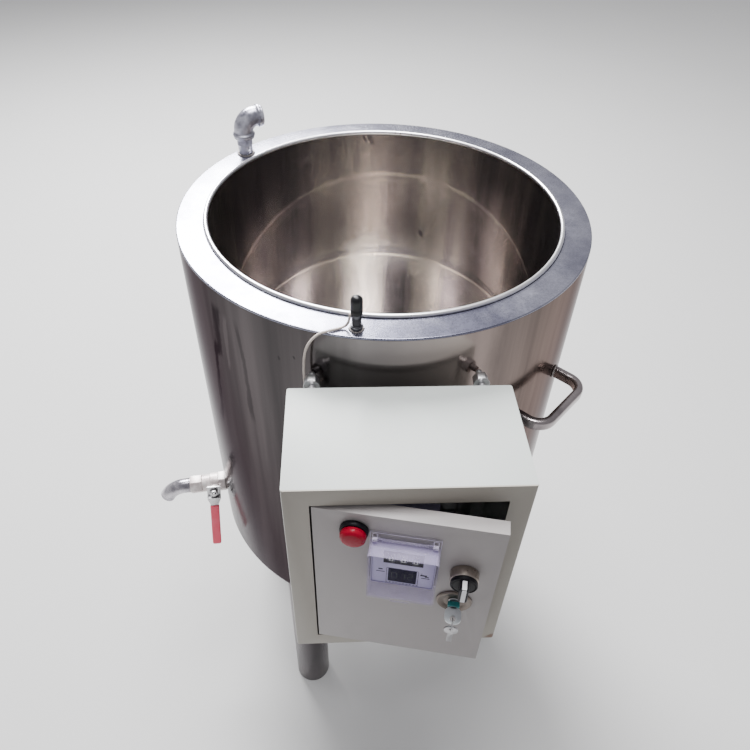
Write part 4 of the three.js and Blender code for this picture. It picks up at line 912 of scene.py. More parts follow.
class Form:
    """A mesh in the making, in millimetres in a local frame."""

    def __init__(self, place: Matrix | None = None) -> None:
        """Starts an empty form in a frame, or in the part's own."""
        self.place, self.mesh = place or Matrix.Identity(4), bmesh.new()
        self.mesh.faces.layers.float.new(WEAR_AND_SHEEN)

    def _close(self, start: int, ease: float = 0.0, steps: int = 1) -> "Form":
        """Eases and turns outwards what was added.

        Args:
            start: Number of faces before it was added.
            ease: Width of its eased edges.
            steps: Parts of each eased edge.

        Returns:
            The form.
        """
        self.mesh.faces.ensure_lookup_table()
        faces = self.mesh.faces[start:]
        bmesh.ops.recalc_face_normals(self.mesh, faces=faces)
        if ease:
            ease_edges(self.mesh, faces, ease, steps)
        return self

    def turned(self, profile: Profile, axis: Axis = Axis.Z, at: Point = (0, 0, 0)) -> "Form":
        """Adds a turned form.

        Args:
            profile: Its profile.
            axis: The axis that it stands on.
            at: Where the axis starts.

        Returns:
            The form.
        """
        line = eased(profile.line, profile.ease) if profile.ease else list(profile.line)
        line = [p for i, p in enumerate(line) if (Vector(p) - Vector(line[i - 1])).length > TINY]
        start = len(self.mesh.faces)
        rings: list[list[bmesh.types.BMVert]] = []
        for radius, along in line:
            ring = []
            for k in range(profile.facets if radius > TINY * MM else 1):
                a = 2 * math.pi * k / profile.facets
                u, v = radius * math.cos(a), radius * math.sin(a)
                put = {Axis.X: (along, u, v), Axis.Y: (u, along, v), Axis.Z: (u, v, along)}[axis]
                ring.append(self.mesh.verts.new(Vector(put) + Vector(at)))
            rings.append(ring)
        for i, j in around(len(rings)):
            ring, after = rings[i], rings[j]
            if len(ring) == 1 and len(after) == 1:
                continue
            for k, n in around(profile.facets):
                corners = [ring[k % len(ring)], ring[n % len(ring)], after[n % len(after)], after[k % len(after)]]
                self.mesh.faces.new(list(dict.fromkeys(corners)))
        return self._close(start)

    def _rings(self, points: Sequence[Point], sections: Sequence[Outline], up: Point, closed: bool = False,
               sizes: Sequence[float] | None = None) -> list[list[list[bmesh.types.BMVert]]]:
        """Makes the corners of sections across a line, turned with it as little as it allows.

        Args:
            points: The line.
            sections: Closed outlines across the line.
            up: Direction that the sections' second axis starts near.
            closed: Whether the line is a loop.
            sizes: Scale of the sections at each point.

        Returns:
            For each point of the line, the corners of each section.
        """
        line = [Vector(p) for p in points]
        hint = Vector(up)
        rings = []
        for i, here in enumerate(line):
            before = line[i - 1] if closed or i else here
            after = line[(i + 1) % len(line)] if closed or i < len(line) - 1 else here
            along = (after - before).normalized()
            side = hint.cross(along).normalized()
            hint = along.cross(side).normalized()
            scale = sizes[i] if sizes else 1.0
            rings.append([[self.mesh.verts.new(here + side * (a * scale) + hint * (b * scale)) for a, b in section]
                          for section in sections])
        return rings

    def swept(self, points: Sequence[Point], section: Outline, closed: bool = False, up: Point = (0, 0, 1),
              sizes: Sequence[float] | None = None) -> "Form":
        """Adds a section swept along a line.

        Args:
            points: The line.
            section: Closed outline across the line.
            closed: Whether the line is a loop.
            up: Direction that the section's second axis starts near.
            sizes: Scale of the section at each point.

        Returns:
            The form.
        """
        start = len(self.mesh.faces)
        rings = [ring for ring, in self._rings(points, (section,), up, closed, sizes)]
        for i, j in around(len(rings))[: None if closed else -1]:
            for k, n in around(len(section)):
                self.mesh.faces.new((rings[i][k], rings[i][n], rings[j][n], rings[j][k]))
        if not closed:
            self.mesh.faces.new(rings[0])
            self.mesh.faces.new(rings[-1])
        return self._close(start)

    def tube(self, points: Sequence[Point], outer: Outline, inner: Outline, up: Point = (0, 0, 1)) -> "Form":
        """Adds an open tube along a line.

        Args:
            points: The line.
            outer: Outline of its outside.
            inner: Outline of its bore, with as many points.
            up: Direction that the outlines' second axis starts near.

        Returns:
            The form.
        """
        start = len(self.mesh.faces)
        rings = self._rings(points, (outer, inner), up)
        for (a, b), (c, d) in zip(rings, rings[1:]):
            for k, n in around(len(outer)):
                self.mesh.faces.new((a[k], a[n], c[n], c[k]))
                self.mesh.faces.new((b[n], b[k], d[k], d[n]))
        for a, b in (rings[0], rings[-1]):
            for k, n in around(len(outer)):
                self.mesh.faces.new((a[k], a[n], b[n], b[k]))
        return self._close(start)

    def prism(self, outline: Outline, span: Span, ease: float = 0.0, axis: Axis = Axis.Z, steps: int = 2) -> "Form":
        """Adds an outline raised between two heights.

        Args:
            outline: Closed outline across the axis.
            span: Its lowest and highest place along the axis.
            ease: Width of its eased edges.
            axis: The axis that it stands on.
            steps: Parts of each eased edge.

        Returns:
            The form.
        """
        start = len(self.mesh.faces)
        put = {Axis.X: lambda a, b, h: (h, a, b), Axis.Y: lambda a, b, h: (a, h, b),
               Axis.Z: lambda a, b, h: (a, b, h)}[axis]
        foot, top = ([self.mesh.verts.new(Vector(put(a, b, h))) for a, b in outline] for h in span)
        for k, n in around(len(outline)):
            self.mesh.faces.new((foot[k], foot[n], top[n], top[k]))
        self.mesh.faces.new(foot)
        self.mesh.faces.new(top)
        return self._close(start, ease, steps)

    def slab(self, slab: Slab, axis: Axis = Axis.Z) -> "Form":
        """Adds a slab across an axis."""
        outline = rounded_rectangle(slab.width, slab.height, slab.corner, slab.middle)
        return self.prism(outline, slab.span, slab.ease, axis, slab.steps)

    def block(self, x: Span, y: Span, z: Span) -> "Form":
        """Adds a box between two corners."""
        return self.prism([(x[0], y[0]), (x[1], y[0]), (x[1], y[1]), (x[0], y[1])], z)

    def plate(self, x: float, y: float, width: float, height: float, z: Span) -> "Form":
        """Adds a box given by its middle and its sides."""
        return self.block((x - width / 2, x + width / 2), (y - height / 2, y + height / 2), z)

    def to_mesh(self, name: str) -> Mesh:
        """Ends the form.

        Args:
            name: The mesh's name.

        Returns:
            Its mesh in metres in the part's frame.
        """
        self.mesh.transform(Matrix.Scale(MM, 4) @ self.place)
        made = bpy.data.meshes.new(name)
        self.mesh.to_mesh(made)
        self.mesh.free()
        return made

    def piece(self, name: str, finish: Finish, body: Body, *nodes: str, angle: float = CREASE) -> Object:
        """Ends the form as a piece of the object, as settle does."""
        return settle(name, self.to_mesh(name), finish, body, nodes, angle)


def settle(name: str, mesh: Mesh, finish: Finish, body: Body, nodes: Iterable[str],
           angle: float) -> Object:
    """Makes a piece of a mesh that is in metres in the part's frame.

    Args:
        name: The piece's name.
        mesh: Its mesh.
        finish: Its finish.
        body: The body that it rides on.
        nodes: CAD nodes that it stands for.
        angle: Edges sharper than this stay sharp, in degrees.

    Returns:
        The piece.
    """
    mesh.polygons.foreach_set("use_smooth", [True] * len(mesh.polygons))
    mesh.set_sharp_from_angle(angle=math.radians(angle))
    mesh.materials.clear()
    mesh.materials.append(Palette.material(finish))
    piece = bpy.data.objects.new(name, mesh)
    bpy.context.collection.objects.link(piece)
    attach(piece, body.value)
    if nodes:
        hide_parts(*nodes)
    return piece


def drilled(mesh: Mesh, drill: Mesh) -> Mesh:
    """Cuts one mesh out of another.

    Args:
        mesh: The mesh to drill.
        drill: What is cut out of it.

    Returns:
        The plain result.
    """
    block, tool = bpy.data.objects.new("block", mesh), bpy.data.objects.new("tool", drill)
    for each in (block, tool):
        bpy.context.collection.objects.link(each)
    cut = block.modifiers.new("cut", "BOOLEAN")
    cut.object, cut.operation, cut.solver = tool, "DIFFERENCE", "EXACT"
    made = bpy.data.meshes.new_from_object(block.evaluated_get(bpy.context.evaluated_depsgraph_get()))
    for each in (block, tool):
        bpy.data.objects.remove(each)
    return made


def node_body(node: str) -> Body:
    """The body that a CAD node rides on."""
    bodies = FRAME["record"]["behaviour"]["bodies"]
    return Body(next(body for body, names in bodies.items() if node in names))


def merged_copy(node: str) -> bmesh.types.BMesh:
    """Copies a CAD node's mesh, merges its doubles and joins its flat faces.

    Args:
        node: The CAD node.

    Returns:
        The copy, in metres.
    """
    copy = bmesh.new()
    copy.from_mesh(FRAME["nodes"][node].data)
    copy.faces.layers.float.new(WEAR_AND_SHEEN)
    bmesh.ops.remove_doubles(copy, verts=copy.verts, dist=MERGE_REACH)
    bmesh.ops.recalc_face_normals(copy, faces=copy.faces)
    bmesh.ops.dissolve_limit(copy, angle_limit=math.radians(FLAT_WITHIN), verts=copy.verts, edges=copy.edges)
    return copy


@dataclass(frozen=True)
class EasedNode:
    """A CAD node whose shape is right, made a piece with its edges eased.

    Attributes:
        node: The CAD node.
        finish: Its finish.
        ease: Width of the eased edges in millimetres.
        steps: Parts of each edge.
        name: The piece's name, or empty for the node's own with an ending.
    """

    node: str
    finish: Finish
    ease: float
    steps: int = 2
    name: str = ""

    def piece(self) -> Object:
        """Makes the piece.

        Returns:
            The piece.
        """
        copy = merged_copy(self.node)
        ease_edges(copy, copy.faces[:], self.ease * MM, self.steps)
        mesh = bpy.data.meshes.new(self.name or self.node + "_piece")
        copy.to_mesh(mesh)
        copy.free()
        return settle(mesh.name, mesh, self.finish, node_body(self.node), (self.node,), NODE_CREASE)


def dress_node(node: str, finish: Finish) -> Object:
    """Gives a CAD node that stays in view its finish.

    Args:
        node: The CAD node.
        finish: The finish.

    Returns:
        The node's object.
    """
    shown = FRAME["nodes"][node]
    shown.data.materials.clear()
    shown.data.materials.append(Palette.material(finish))
    return shown


# Geometry Nodes for what repeats


class Repeat(str, Enum):
    """What a repeating pattern is laid along."""

    RINGS = "rings along the axis"
    SPOKES = "bars round the axis"
    BEADS = "beads round the axis"


class PatternTree:
    """A Geometry Nodes tree with named inputs."""

    def __init__(self, name: str, inputs: Mapping[str, tuple[str, object]]) -> None:
        """Starts a tree.

        Args:
            name: Its name.
            inputs: Socket type and value of each named input.
        """
        self.group = bpy.data.node_groups.new(name, "GeometryNodeTree")
        self.inputs = inputs
        self.identifiers: dict[str, str] = {}
        for label, (kind, _) in inputs.items():
            socket = self.group.interface.new_socket(name=label, in_out="INPUT", socket_type=kind)
            self.identifiers[label] = socket.identifier
        self.group.interface.new_socket(name="Geometry", in_out="OUTPUT", socket_type="NodeSocketGeometry")
        self.given = self.group.nodes.new("NodeGroupInput").outputs

    def node(self, kind: str, settings: Mapping[str, object], sockets: Mapping[object, object]) -> Node:
        """Adds a node."""
        return add_node(self.group, kind, settings, sockets)

    def mesh(self, name: str, whole: Node) -> Mesh:
        """Ends the tree and evaluates it.

        Args:
            name: The mesh's name.
            whole: The last node.

        Returns:
            The plain mesh.
        """
        self.node("NodeGroupOutput", {}, {0: whole.outputs[0]})
        holder = bpy.data.objects.new(name + "_maker", bpy.data.meshes.new(name + "_maker"))
        bpy.context.collection.objects.link(holder)
        modifier = holder.modifiers.new("pattern", "NODES")
        modifier.node_group = self.group
        for label, (_, value) in self.inputs.items():
            modifier[self.identifiers[label]] = value
        graph = bpy.context.evaluated_depsgraph_get()
        made = bpy.data.meshes.new_from_object(holder.evaluated_get(graph))
        made.name = name
        bpy.data.objects.remove(holder)
        return made


@dataclass
class RepeatPattern:
    """A pattern made by Geometry Nodes about the local Z axis, turned to a plain mesh.

    Sizes are in millimetres: radius of the circle that it follows, the number of copies, their pitch along the
    axis, and the size of each copy. Beads vary in size by their spread, from the seed.
    """

    kind: Repeat
    place: Matrix
    radius: float
    count: int
    size: Point
    pitch: float = 0.0
    seed: int = 4
    facets: int = 48
    round_facets: int = 96
    thread_facets: int = 6
    bead_facets: tuple[int, int] = (8, 6)
    bead_spread: Span = (0.85, 1.15)

    def _inputs(self) -> dict[str, tuple[str, object]]:
        """Named inputs of the tree, with each one's socket type and value."""
        return {
            "Radius": ("NodeSocketFloat", self.radius * MM),
            "Count": ("NodeSocketInt", self.count),
            "Size": ("NodeSocketVector", tuple(s * MM for s in self.size)),
            "Pitch": ("NodeSocketFloat", self.pitch * MM),
            "Facets": ("NodeSocketInt", self.facets),
        }

    def _along(self, tree: PatternTree) -> Node:
        """Lays rings along the axis.

        Args:
            tree: The pattern's tree.

        Returns:
            The node that lays them.
        """
        given, ring = tree.given, "GeometryNodeCurvePrimitiveCircle"
        depth = tree.node("ShaderNodeSeparateXYZ", {}, {0: given["Size"]}).outputs[0]
        step = tree.node("ShaderNodeCombineXYZ", {}, {"Z": given["Pitch"]})
        spots = tree.node("GeometryNodeMeshLine", {}, {"Count": given["Count"], "Offset": step.outputs[0]})
        loop = tree.node(ring, {}, {"Resolution": given["Facets"], "Radius": given["Radius"]})
        thread = tree.node(ring, {}, {"Resolution": self.thread_facets, "Radius": depth})
        copy = tree.node("GeometryNodeCurveToMesh", {}, {0: loop.outputs[0], 1: thread.outputs[0]})
        return tree.node("GeometryNodeInstanceOnPoints", {}, {0: spots.outputs[0], "Instance": copy.outputs[0]})

    def _round(self, tree: PatternTree) -> Node:
        """Lays bars or beads round the axis.

        Args:
            tree: The pattern's tree.

        Returns:
            The node that lays them.
        """
        given = tree.given
        loop = tree.node("GeometryNodeCurvePrimitiveCircle", {}, {
            "Resolution": self.round_facets, "Radius": given["Radius"]})
        spots = tree.node("GeometryNodeCurveToPoints", {"mode": "COUNT"}, {
            0: loop.outputs[0], "Count": given["Count"]})
        sockets = {0: spots.outputs[0], "Rotation": spots.outputs["Rotation"]}
        if self.kind is Repeat.SPOKES:
            copy = tree.node("GeometryNodeMeshCube", {}, {0: given["Size"]})
        else:
            segments, rings = self.bead_facets
            least, most = self.bead_spread
            ball = tree.node("GeometryNodeMeshUVSphere", {}, {"Segments": segments, "Rings": rings, "Radius": 1.0})
            copy = tree.node("GeometryNodeTransform", {}, {0: ball.outputs[0], "Scale": given["Size"]})
            vary = tree.node("FunctionNodeRandomValue", {"data_type": "FLOAT"}, {2: least, 3: most, "Seed": self.seed})
            sockets["Scale"] = vary.outputs[1]
        return tree.node("GeometryNodeInstanceOnPoints", {}, {**sockets, "Instance": copy.outputs[0]})

    def build(self, name: str, finish: Finish) -> Mesh:
        """Builds the tree and evaluates it.

        Args:
            name: The mesh's name.
            finish: The finish that the tree sets.

        Returns:
            The plain mesh in the part's frame, in metres.
        """
        tree = PatternTree(name + "_tree", self._inputs())
        copies = self._along(tree) if self.kind is Repeat.RINGS else self._round(tree)
        whole = tree.node("GeometryNodeRealizeInstances", {}, {0: copies.outputs[0]})
        material = Palette.material(finish)
        painted = tree.node("GeometryNodeSetMaterial", {}, {0: whole.outputs[0], "Material": material})
        made = tree.mesh(name, painted)
        made.transform(Matrix.Translation(self.place.translation * MM) @ self.place.to_3x3().to_4x4())
        return made

    def piece(self, name: str, finish: Finish, body: Body) -> Object:
        """Finishes the pattern as a piece of the object."""
        return settle(name, self.build(name, finish), finish, body, (), SOFT_CREASE)


@dataclass(frozen=True)
class WeldRing:
    """A ring of weld beads on the vessel, about the Z axis of a frame: its radius, beads, their size and seed."""

    radius: float
    count: int
    bead: Point
    seed: int

    def piece(self, name: str, place: Matrix) -> Object:
        """Lays the ring."""
        pattern = RepeatPattern(Repeat.BEADS, place, self.radius, self.count, self.bead, seed=self.seed)
        return pattern.piece(name, WELD, Body.TANK)


@dataclass(frozen=True)
class Thread:
    """A thread on the vessel, along the Z axis of a frame: its radius, turns, depth, pitch and facets."""

    radius: float
    turns: int
    depth: float
    pitch: float
    facets: int = 48

    def piece(self, name: str, place: Matrix, finish: Finish) -> Object:
        """Lays the thread."""
        pattern = RepeatPattern(Repeat.RINGS, place, self.radius, self.turns, (self.depth, 0, 0), self.pitch,
                                facets=self.facets)
        return pattern.piece(name, finish, Body.TANK)


# The photograph's view


@dataclass(frozen=True)
class Softbox:
    """A round soft light: its place, its size across and its power in watts."""

    name: str
    place: Point
    size: float
    power: float


@dataclass
class Studio:
    """A plain pale floor, soft light and the camera at the photograph's angle."""

    lens: float = 32.66
    sensor: float = 36.0
    nearest: float = 0.01
    place: Point = (-0.0640, -0.8375, 0.9928)
    azimuth: float = -4.007
    elevation: float = 43.201
    roll: float = 1.946
    sky: float = 0.42
    sky_colour: Rgb = (0.96, 0.95, 1.0)
    aim: Point = (0, 0, 0.2)
    softboxes: tuple[Softbox, ...] = (
        Softbox("back_softbox", (-0.9, 2.44, 2.55), 1.8, 420.0), Softbox("top_softbox", (-0.1, 0.35, 3.1), 1.4, 130.0))
    floor_drop: float = -0.4256
    floor_reach: float = 12.0
    floor_glow: float = 0.4
    floor_rough: float = 0.8
    floor_colours: tuple[Rgb, Rgb] = ((0.47, 0.47, 0.47), (0.5, 0.5, 0.5))

    def camera(self) -> Object:
        """Sets the camera.

        Returns:
            The camera.
        """
        a, e, r = (math.radians(v) for v in (self.azimuth, self.elevation, self.roll))
        back = Vector((math.sin(a) * math.cos(e), -math.cos(a) * math.cos(e), math.sin(e)))
        right = Vector((0, 0, 1)).cross(back).normalized()
        up = back.cross(right)
        turned = right * math.cos(r) + up * math.sin(r)
        data = bpy.data.cameras.new("camera")
        data.lens, data.sensor_width, data.sensor_fit = self.lens, self.sensor, "HORIZONTAL"
        data.clip_start = self.nearest
        eye = bpy.data.objects.new("camera", data)
        turn = Matrix((turned, back.cross(turned), back)).transposed().to_4x4()
        eye.matrix_world = Matrix.Translation(self.place) @ turn
        bpy.context.collection.objects.link(eye)
        bpy.context.scene.camera = eye
        return eye

    def lights(self) -> None:
        """Adds a weak pale sky, a soft light high behind the left of the object and one above it."""
        world = bpy.data.worlds.new("studio")
        bpy.context.scene.world = world
        world.use_nodes = True
        sky = world.node_tree.nodes["Background"]
        sky.inputs["Color"].default_value = (*self.sky_colour, 1.0)
        sky.inputs["Strength"].default_value = self.sky
        for box in self.softboxes:
            data = bpy.data.lights.new(box.name, "AREA")
            data.shape, data.size, data.energy = "DISK", box.size, box.power
            lamp = bpy.data.objects.new(box.name, data)
            lamp.location = box.place
            lamp.rotation_euler = (Vector(self.aim) - Vector(box.place)).to_track_quat("-Z", "Y").to_euler()
            bpy.context.collection.objects.link(lamp)

    def floor(self) -> None:
        """Lays a plain pale floor under the feet."""
        mesh = bpy.data.meshes.new("floor")
        far = self.floor_reach
        corners = [(x, y, self.floor_drop) for x, y in ((-far, -far), (far, -far), (far, far), (-far, far))]
        mesh.from_pydata(corners, [], [(0, 1, 2, 3)])
        tree = ShaderTree("floor_paint")
        paint = tree.blend(tree.layer(FLOOR_CLOUD), *self.floor_colours)
        tree.feed(Base_Color=paint, Roughness=self.floor_rough, Emission_Color=paint,
                  Emission_Strength=self.floor_glow)
        mesh.materials.append(tree.material)
        floor = bpy.data.objects.new("floor", mesh)
        bpy.context.collection.objects.link(floor)


# The vessel


@dataclass
class Vessel:
    """Pot, jacket, rim, base and legs."""

    around: int = 192
    knuckle: float = 14.0
    knuckle_steps: int = 10
    bead_radius: float = 3.0
    bead_offset: float = 1.5
    bead_rise: float = 1.4
    bead_steps: int = 20
    outlet: Point = polar(-82, 205, 0)
    outlet_drill: Profile = Profile(((0, -9), (10.8, -9), (10.8, 9), (0, 9)), 32)
    floor_bead: Outline = ((-2.6, 0.02), (-1.8, 0.5), (0, 0.9), (1.8, 0.62), (2.6, 0.3), (0, 0.02))
    shell_wall: float = 1.5
    shell_bottom: float = -60.0
    shell_ease: float = 0.4
    boss: Profile = Profile(((24.3, 3), (28, 3), (28, -12), (24.3, -12)), 48, 0.8)
    boss_height: float = -28.0
    plate: float = 3.0
    plate_ease: float = 0.5
    rim_thickness: float = 2.0
    rim_edge: float = 1.8
    rim_steps: int = 6
    rim_chamfer: float = 0.4
    leg_count: int = 4
    leg_radius: float = 31.75
    leg_wall: float = 2.0
    leg_length: float = 365.0
    leg_azimuth: float = -31.0
    leg_facets: int = 56
    leg_ease: float = 1.2
    leg_bead: Point = (2.2, 1.8, 2.0)
    leg_beads: int = 68
    leg_bead_offset: float = 0.4
    leg_bead_drop: float = 1.2

    def pot(self) -> Object:
        """Drawn pot with a rolled bead and the outlet hole in its floor.

        Returns:
            The piece.
        """
        r, t, k, b = POT_RADIUS, POT_WALL, self.knuckle, self.bead_radius
        inner = math.degrees(math.acos(self.bead_offset / b))
        outer = math.degrees(math.acos((t - self.bead_offset) / b))
        line = [(0, 0), *arc(r - k, k, k, -90, 0, self.knuckle_steps),
                *arc(r + self.bead_offset, RIM_TOP + self.bead_rise, b, 180 + inner, -outer, self.bead_steps),
                *arc(r - k, k, k + t, 0, -90, self.knuckle_steps), (0, -t)]
        mesh = Form().turned(Profile(line, self.around)).to_mesh("pot")
        drill = Form(Matrix.Translation(self.outlet)).turned(self.outlet_drill).to_mesh("drill")
        return settle("pot", drilled(mesh, drill), POT, Body.TANK, ("inner_pot", "pot_floor"), CREASE)

    def floor_weld(self) -> Object:
        """The low bright weld bead where the pot's floor meets its wall."""
        line = [(POT_RADIUS - self.knuckle + out, rise) for out, rise in self.floor_bead]
        return Form().turned(Profile(line, self.around)).piece("floor_weld", GOLD_WELD, Body.TANK)

    def shell(self) -> Object:
        """Jacket wall with the heater's welded boss.

        Returns:
            The piece.
        """
        r, wall = SHELL_RADIUS, self.shell_wall
        low, high = self.shell_bottom + self.plate + GAP, RIM_TOP - self.rim_thickness - GAP
        line = [(r - wall, low), (r, low), (r, high), (r - wall, high)]
        form = Form().turned(Profile(line, self.around, self.shell_ease))
        form.turned(self.boss.at(-r), Axis.Y, (0, 0, self.boss_height))
        return form.piece("jacket_shell", SHELL, Body.TANK, "outer_shell")

    def rim(self) -> Object:
        """Flat ring that closes the jacket, rounded over at its outer edge.

        Returns:
            The piece.
        """
        inner, low = POT_RADIUS + self.bead_offset + self.bead_radius + GAP, RIM_TOP - self.rim_thickness
        r, e, c = SHELL_RADIUS, self.rim_edge, self.rim_chamfer
        line = [(inner, low), (r, low), *arc(r - e, RIM_TOP - e, e, 0, 90, self.rim_steps), (inner + c, RIM_TOP),
                (inner, RIM_TOP - c)]
        return Form().turned(Profile(line, self.around)).piece("jacket_rim", RIM, Body.TANK, "rim_ring")

    def base(self) -> Object:
        """Disc that closes the jacket below.

        Returns:
            The piece.
        """
        low, r = self.shell_bottom, SHELL_RADIUS
        line = [(0, low), (r, low), (r, low + self.plate), (0, low + self.plate)]
        form = Form().turned(Profile(line, self.around, self.plate_ease))
        return form.piece("base_disc", DARK_STEEL, Body.TANK, "base_plate")

    def legs(self) -> list[Object]:
        """Tube legs with closed ends, and the weld round the top of each.

        Returns:
            The pieces.
        """
        made = []
        top = self.shell_bottom - GAP
        foot = top - self.leg_length
        r, t = self.leg_radius, self.leg_wall
        line = [(0, foot), (r, foot), (r, top), (r - t, top), (r - t, foot + t), (0, foot + t)]
        tube = Profile(line, self.leg_facets, self.leg_ease)
        for i in range(self.leg_count):
            azimuth = self.leg_azimuth + 360 / self.leg_count * i
            place = Matrix.Translation(polar(azimuth, SHELL_RADIUS - r, 0))
            leg = Form(place).turned(tube)
            made.append(leg.piece(f"leg_tube_{i + 1}", DARK_STEEL, Body.TANK, f"leg_{i + 1}"))
            weld = WeldRing(r + self.leg_bead_offset, self.leg_beads, self.leg_bead, i)
            made.append(weld.piece(f"leg_weld_{i + 1}", shifted(place, z=top - self.leg_bead_drop)))
        return made

    def build(self) -> list[Object]:
        """Builds and dresses the vessel."""
        return [self.pot(), self.floor_weld(), self.shell(), self.rim(), self.base(), *self.legs()]


@dataclass
class Handles:
    """Two bent bars on the shell, each welded on at both ends."""

    azimuths: tuple[tuple[str, float], ...] = (("handle_right", 45.6), ("handle_left", 225.6))
    height: float = 353.0
    half_span: float = 53.5
    reach: float = 42.0
    bend: float = 22.0
    bend_steps: int = 14
    thickness: float = 12.0
    depth: float = 16.0
    rounding: float = 5.0
    weld: WeldRing = WeldRing(7.6, 22, (1.8, 1.5, 1.6), 2)
    weld_offset: float = 0.6

    def build(self) -> list[Object]:
        """Builds and dresses the handles.

        Returns:
            The pieces.
        """
        made = []
        half, out, bend, steps = self.half_span, SHELL_RADIUS + self.reach, self.bend, self.bend_steps
        start = math.sqrt(SHELL_RADIUS**2 - half**2) + GAP
        track = [(start, half), *arc(out - bend, half - bend, bend, 90, 0, steps),
                 *arc(out - bend, bend - half, bend, 0, -90, steps), (start, -half)]
        section = rounded_rectangle(self.thickness, self.depth, self.rounding)
        for name, azimuth in self.azimuths:
            place = outward(azimuth, self.height)
            form = Form(place).swept([(x, y, 0) for x, y in track], section)
            made.append(form.piece(name + "_bar", HANDLE_STEEL, Body.TANK, name, angle=BAR_CREASE))
            for side, end in ((-1, "a"), (1, "b")):
                spot = place @ standing((start + self.weld_offset, side * half, 0), (0, 0, 1),
                                        (1, side * half / start, 0))
                weld = replace(self.weld, seed=self.weld.seed + side)
                made.append(weld.piece(f"{name}_weld_{end}", spot))
        return made


# Fittings on the jacket's rim


@dataclass
class JacketVent:
    """Threaded nipple through the rim, with a cast elbow whose two collars are beaded.

    The collars' outline is (distance from their greatest radius, distance along them).
    """

    base: Point = polar(-129.2, 263, RIM_TOP)
    turn: float = 23.0
    rise: float = 25.0
    nipple: float = 10.65
    nipple_foot: float = -14.0
    nipple_facets: int = 40
    nipple_ease: float = 0.5
    bore: float = 8.0
    thread: Thread = Thread(10.65, 5, 0.75, 1.8)
    thread_foot: float = 15.5
    weld: WeldRing = WeldRing(11.65, 26, (2.2, 1.7, 1.5), 9)
    weld_rise: float = 0.8
    body: float = 14.2
    body_sides: int = 36
    body_swell: float = 0.035
    body_tail: float = 5.5
    bend: float = 19.0
    bend_steps: int = 16
    collar: float = 16.4
    collar_length: float = 11.0
    collar_outline: Outline = ((-2.2, 0), (-1.2, 1.2), (-1.2, 3.6), (0, 4.6), (0, 7.2), (-1.4, 8.4), (-2.6, 11.0))
    collar_facets: int = 44
    collar_ease: float = 0.7

    @property
    def place(self) -> Matrix:
        """The vent's frame."""
        a = math.radians(self.turn)
        return standing(self.base, (math.cos(a), math.sin(a), 0), (0, 0, 1))

    def elbow(self) -> Object:
        """The cast elbow.

        Returns:
            The piece.
        """
        tail, length, top = self.body_tail, self.collar_length, self.rise + self.collar_length
        track = [(0, self.rise + tail), *arc(self.bend, top, self.bend, 180, 90, self.bend_steps),
                 (self.bend + tail, top + self.bend)]
        last = len(track) - 1
        swell = [1.0 + self.body_swell * math.sin(math.pi * i / last) for i in range(last + 1)]
        form = Form(self.place)
        form.swept([(x, 0, z) for x, z in track], circle(self.body, self.body_sides), up=(0, 1, 0), sizes=swell)
        upright = [(self.nipple + GAP, 0), *((self.collar + out, h) for out, h in self.collar_outline),
                   (self.nipple, length)]
        level = [(radius, length - h) for radius, h in upright]
        for line, axis, at in ((upright, Axis.Z, (0, 0, self.rise)), (level, Axis.X, (self.bend, 0, top + self.bend))):
            form.turned(Profile(line, self.collar_facets, self.collar_ease), axis, at)
        return form.piece("vent_elbow_casting", IRON, Body.TANK, "vent_elbow", angle=SOFT_CREASE)

    def build(self) -> list[Object]:
        """Builds and dresses the vent.

        Returns:
            The pieces.
        """
        place, top = self.place, self.rise + self.collar_length - GAP
        line = [(self.bore, self.nipple_foot), (self.nipple, self.nipple_foot), (self.nipple, top), (self.bore, top)]
        nipple = Form(place).turned(Profile(line, self.nipple_facets, self.nipple_ease))
        return [nipple.piece("vent_nipple_tube", IRON, Body.TANK, "vent_nipple"),
                self.thread.piece("vent_threads", shifted(place, z=self.thread_foot), IRON),
                self.weld.piece("vent_weld", shifted(place, z=self.weld_rise)), self.elbow()]


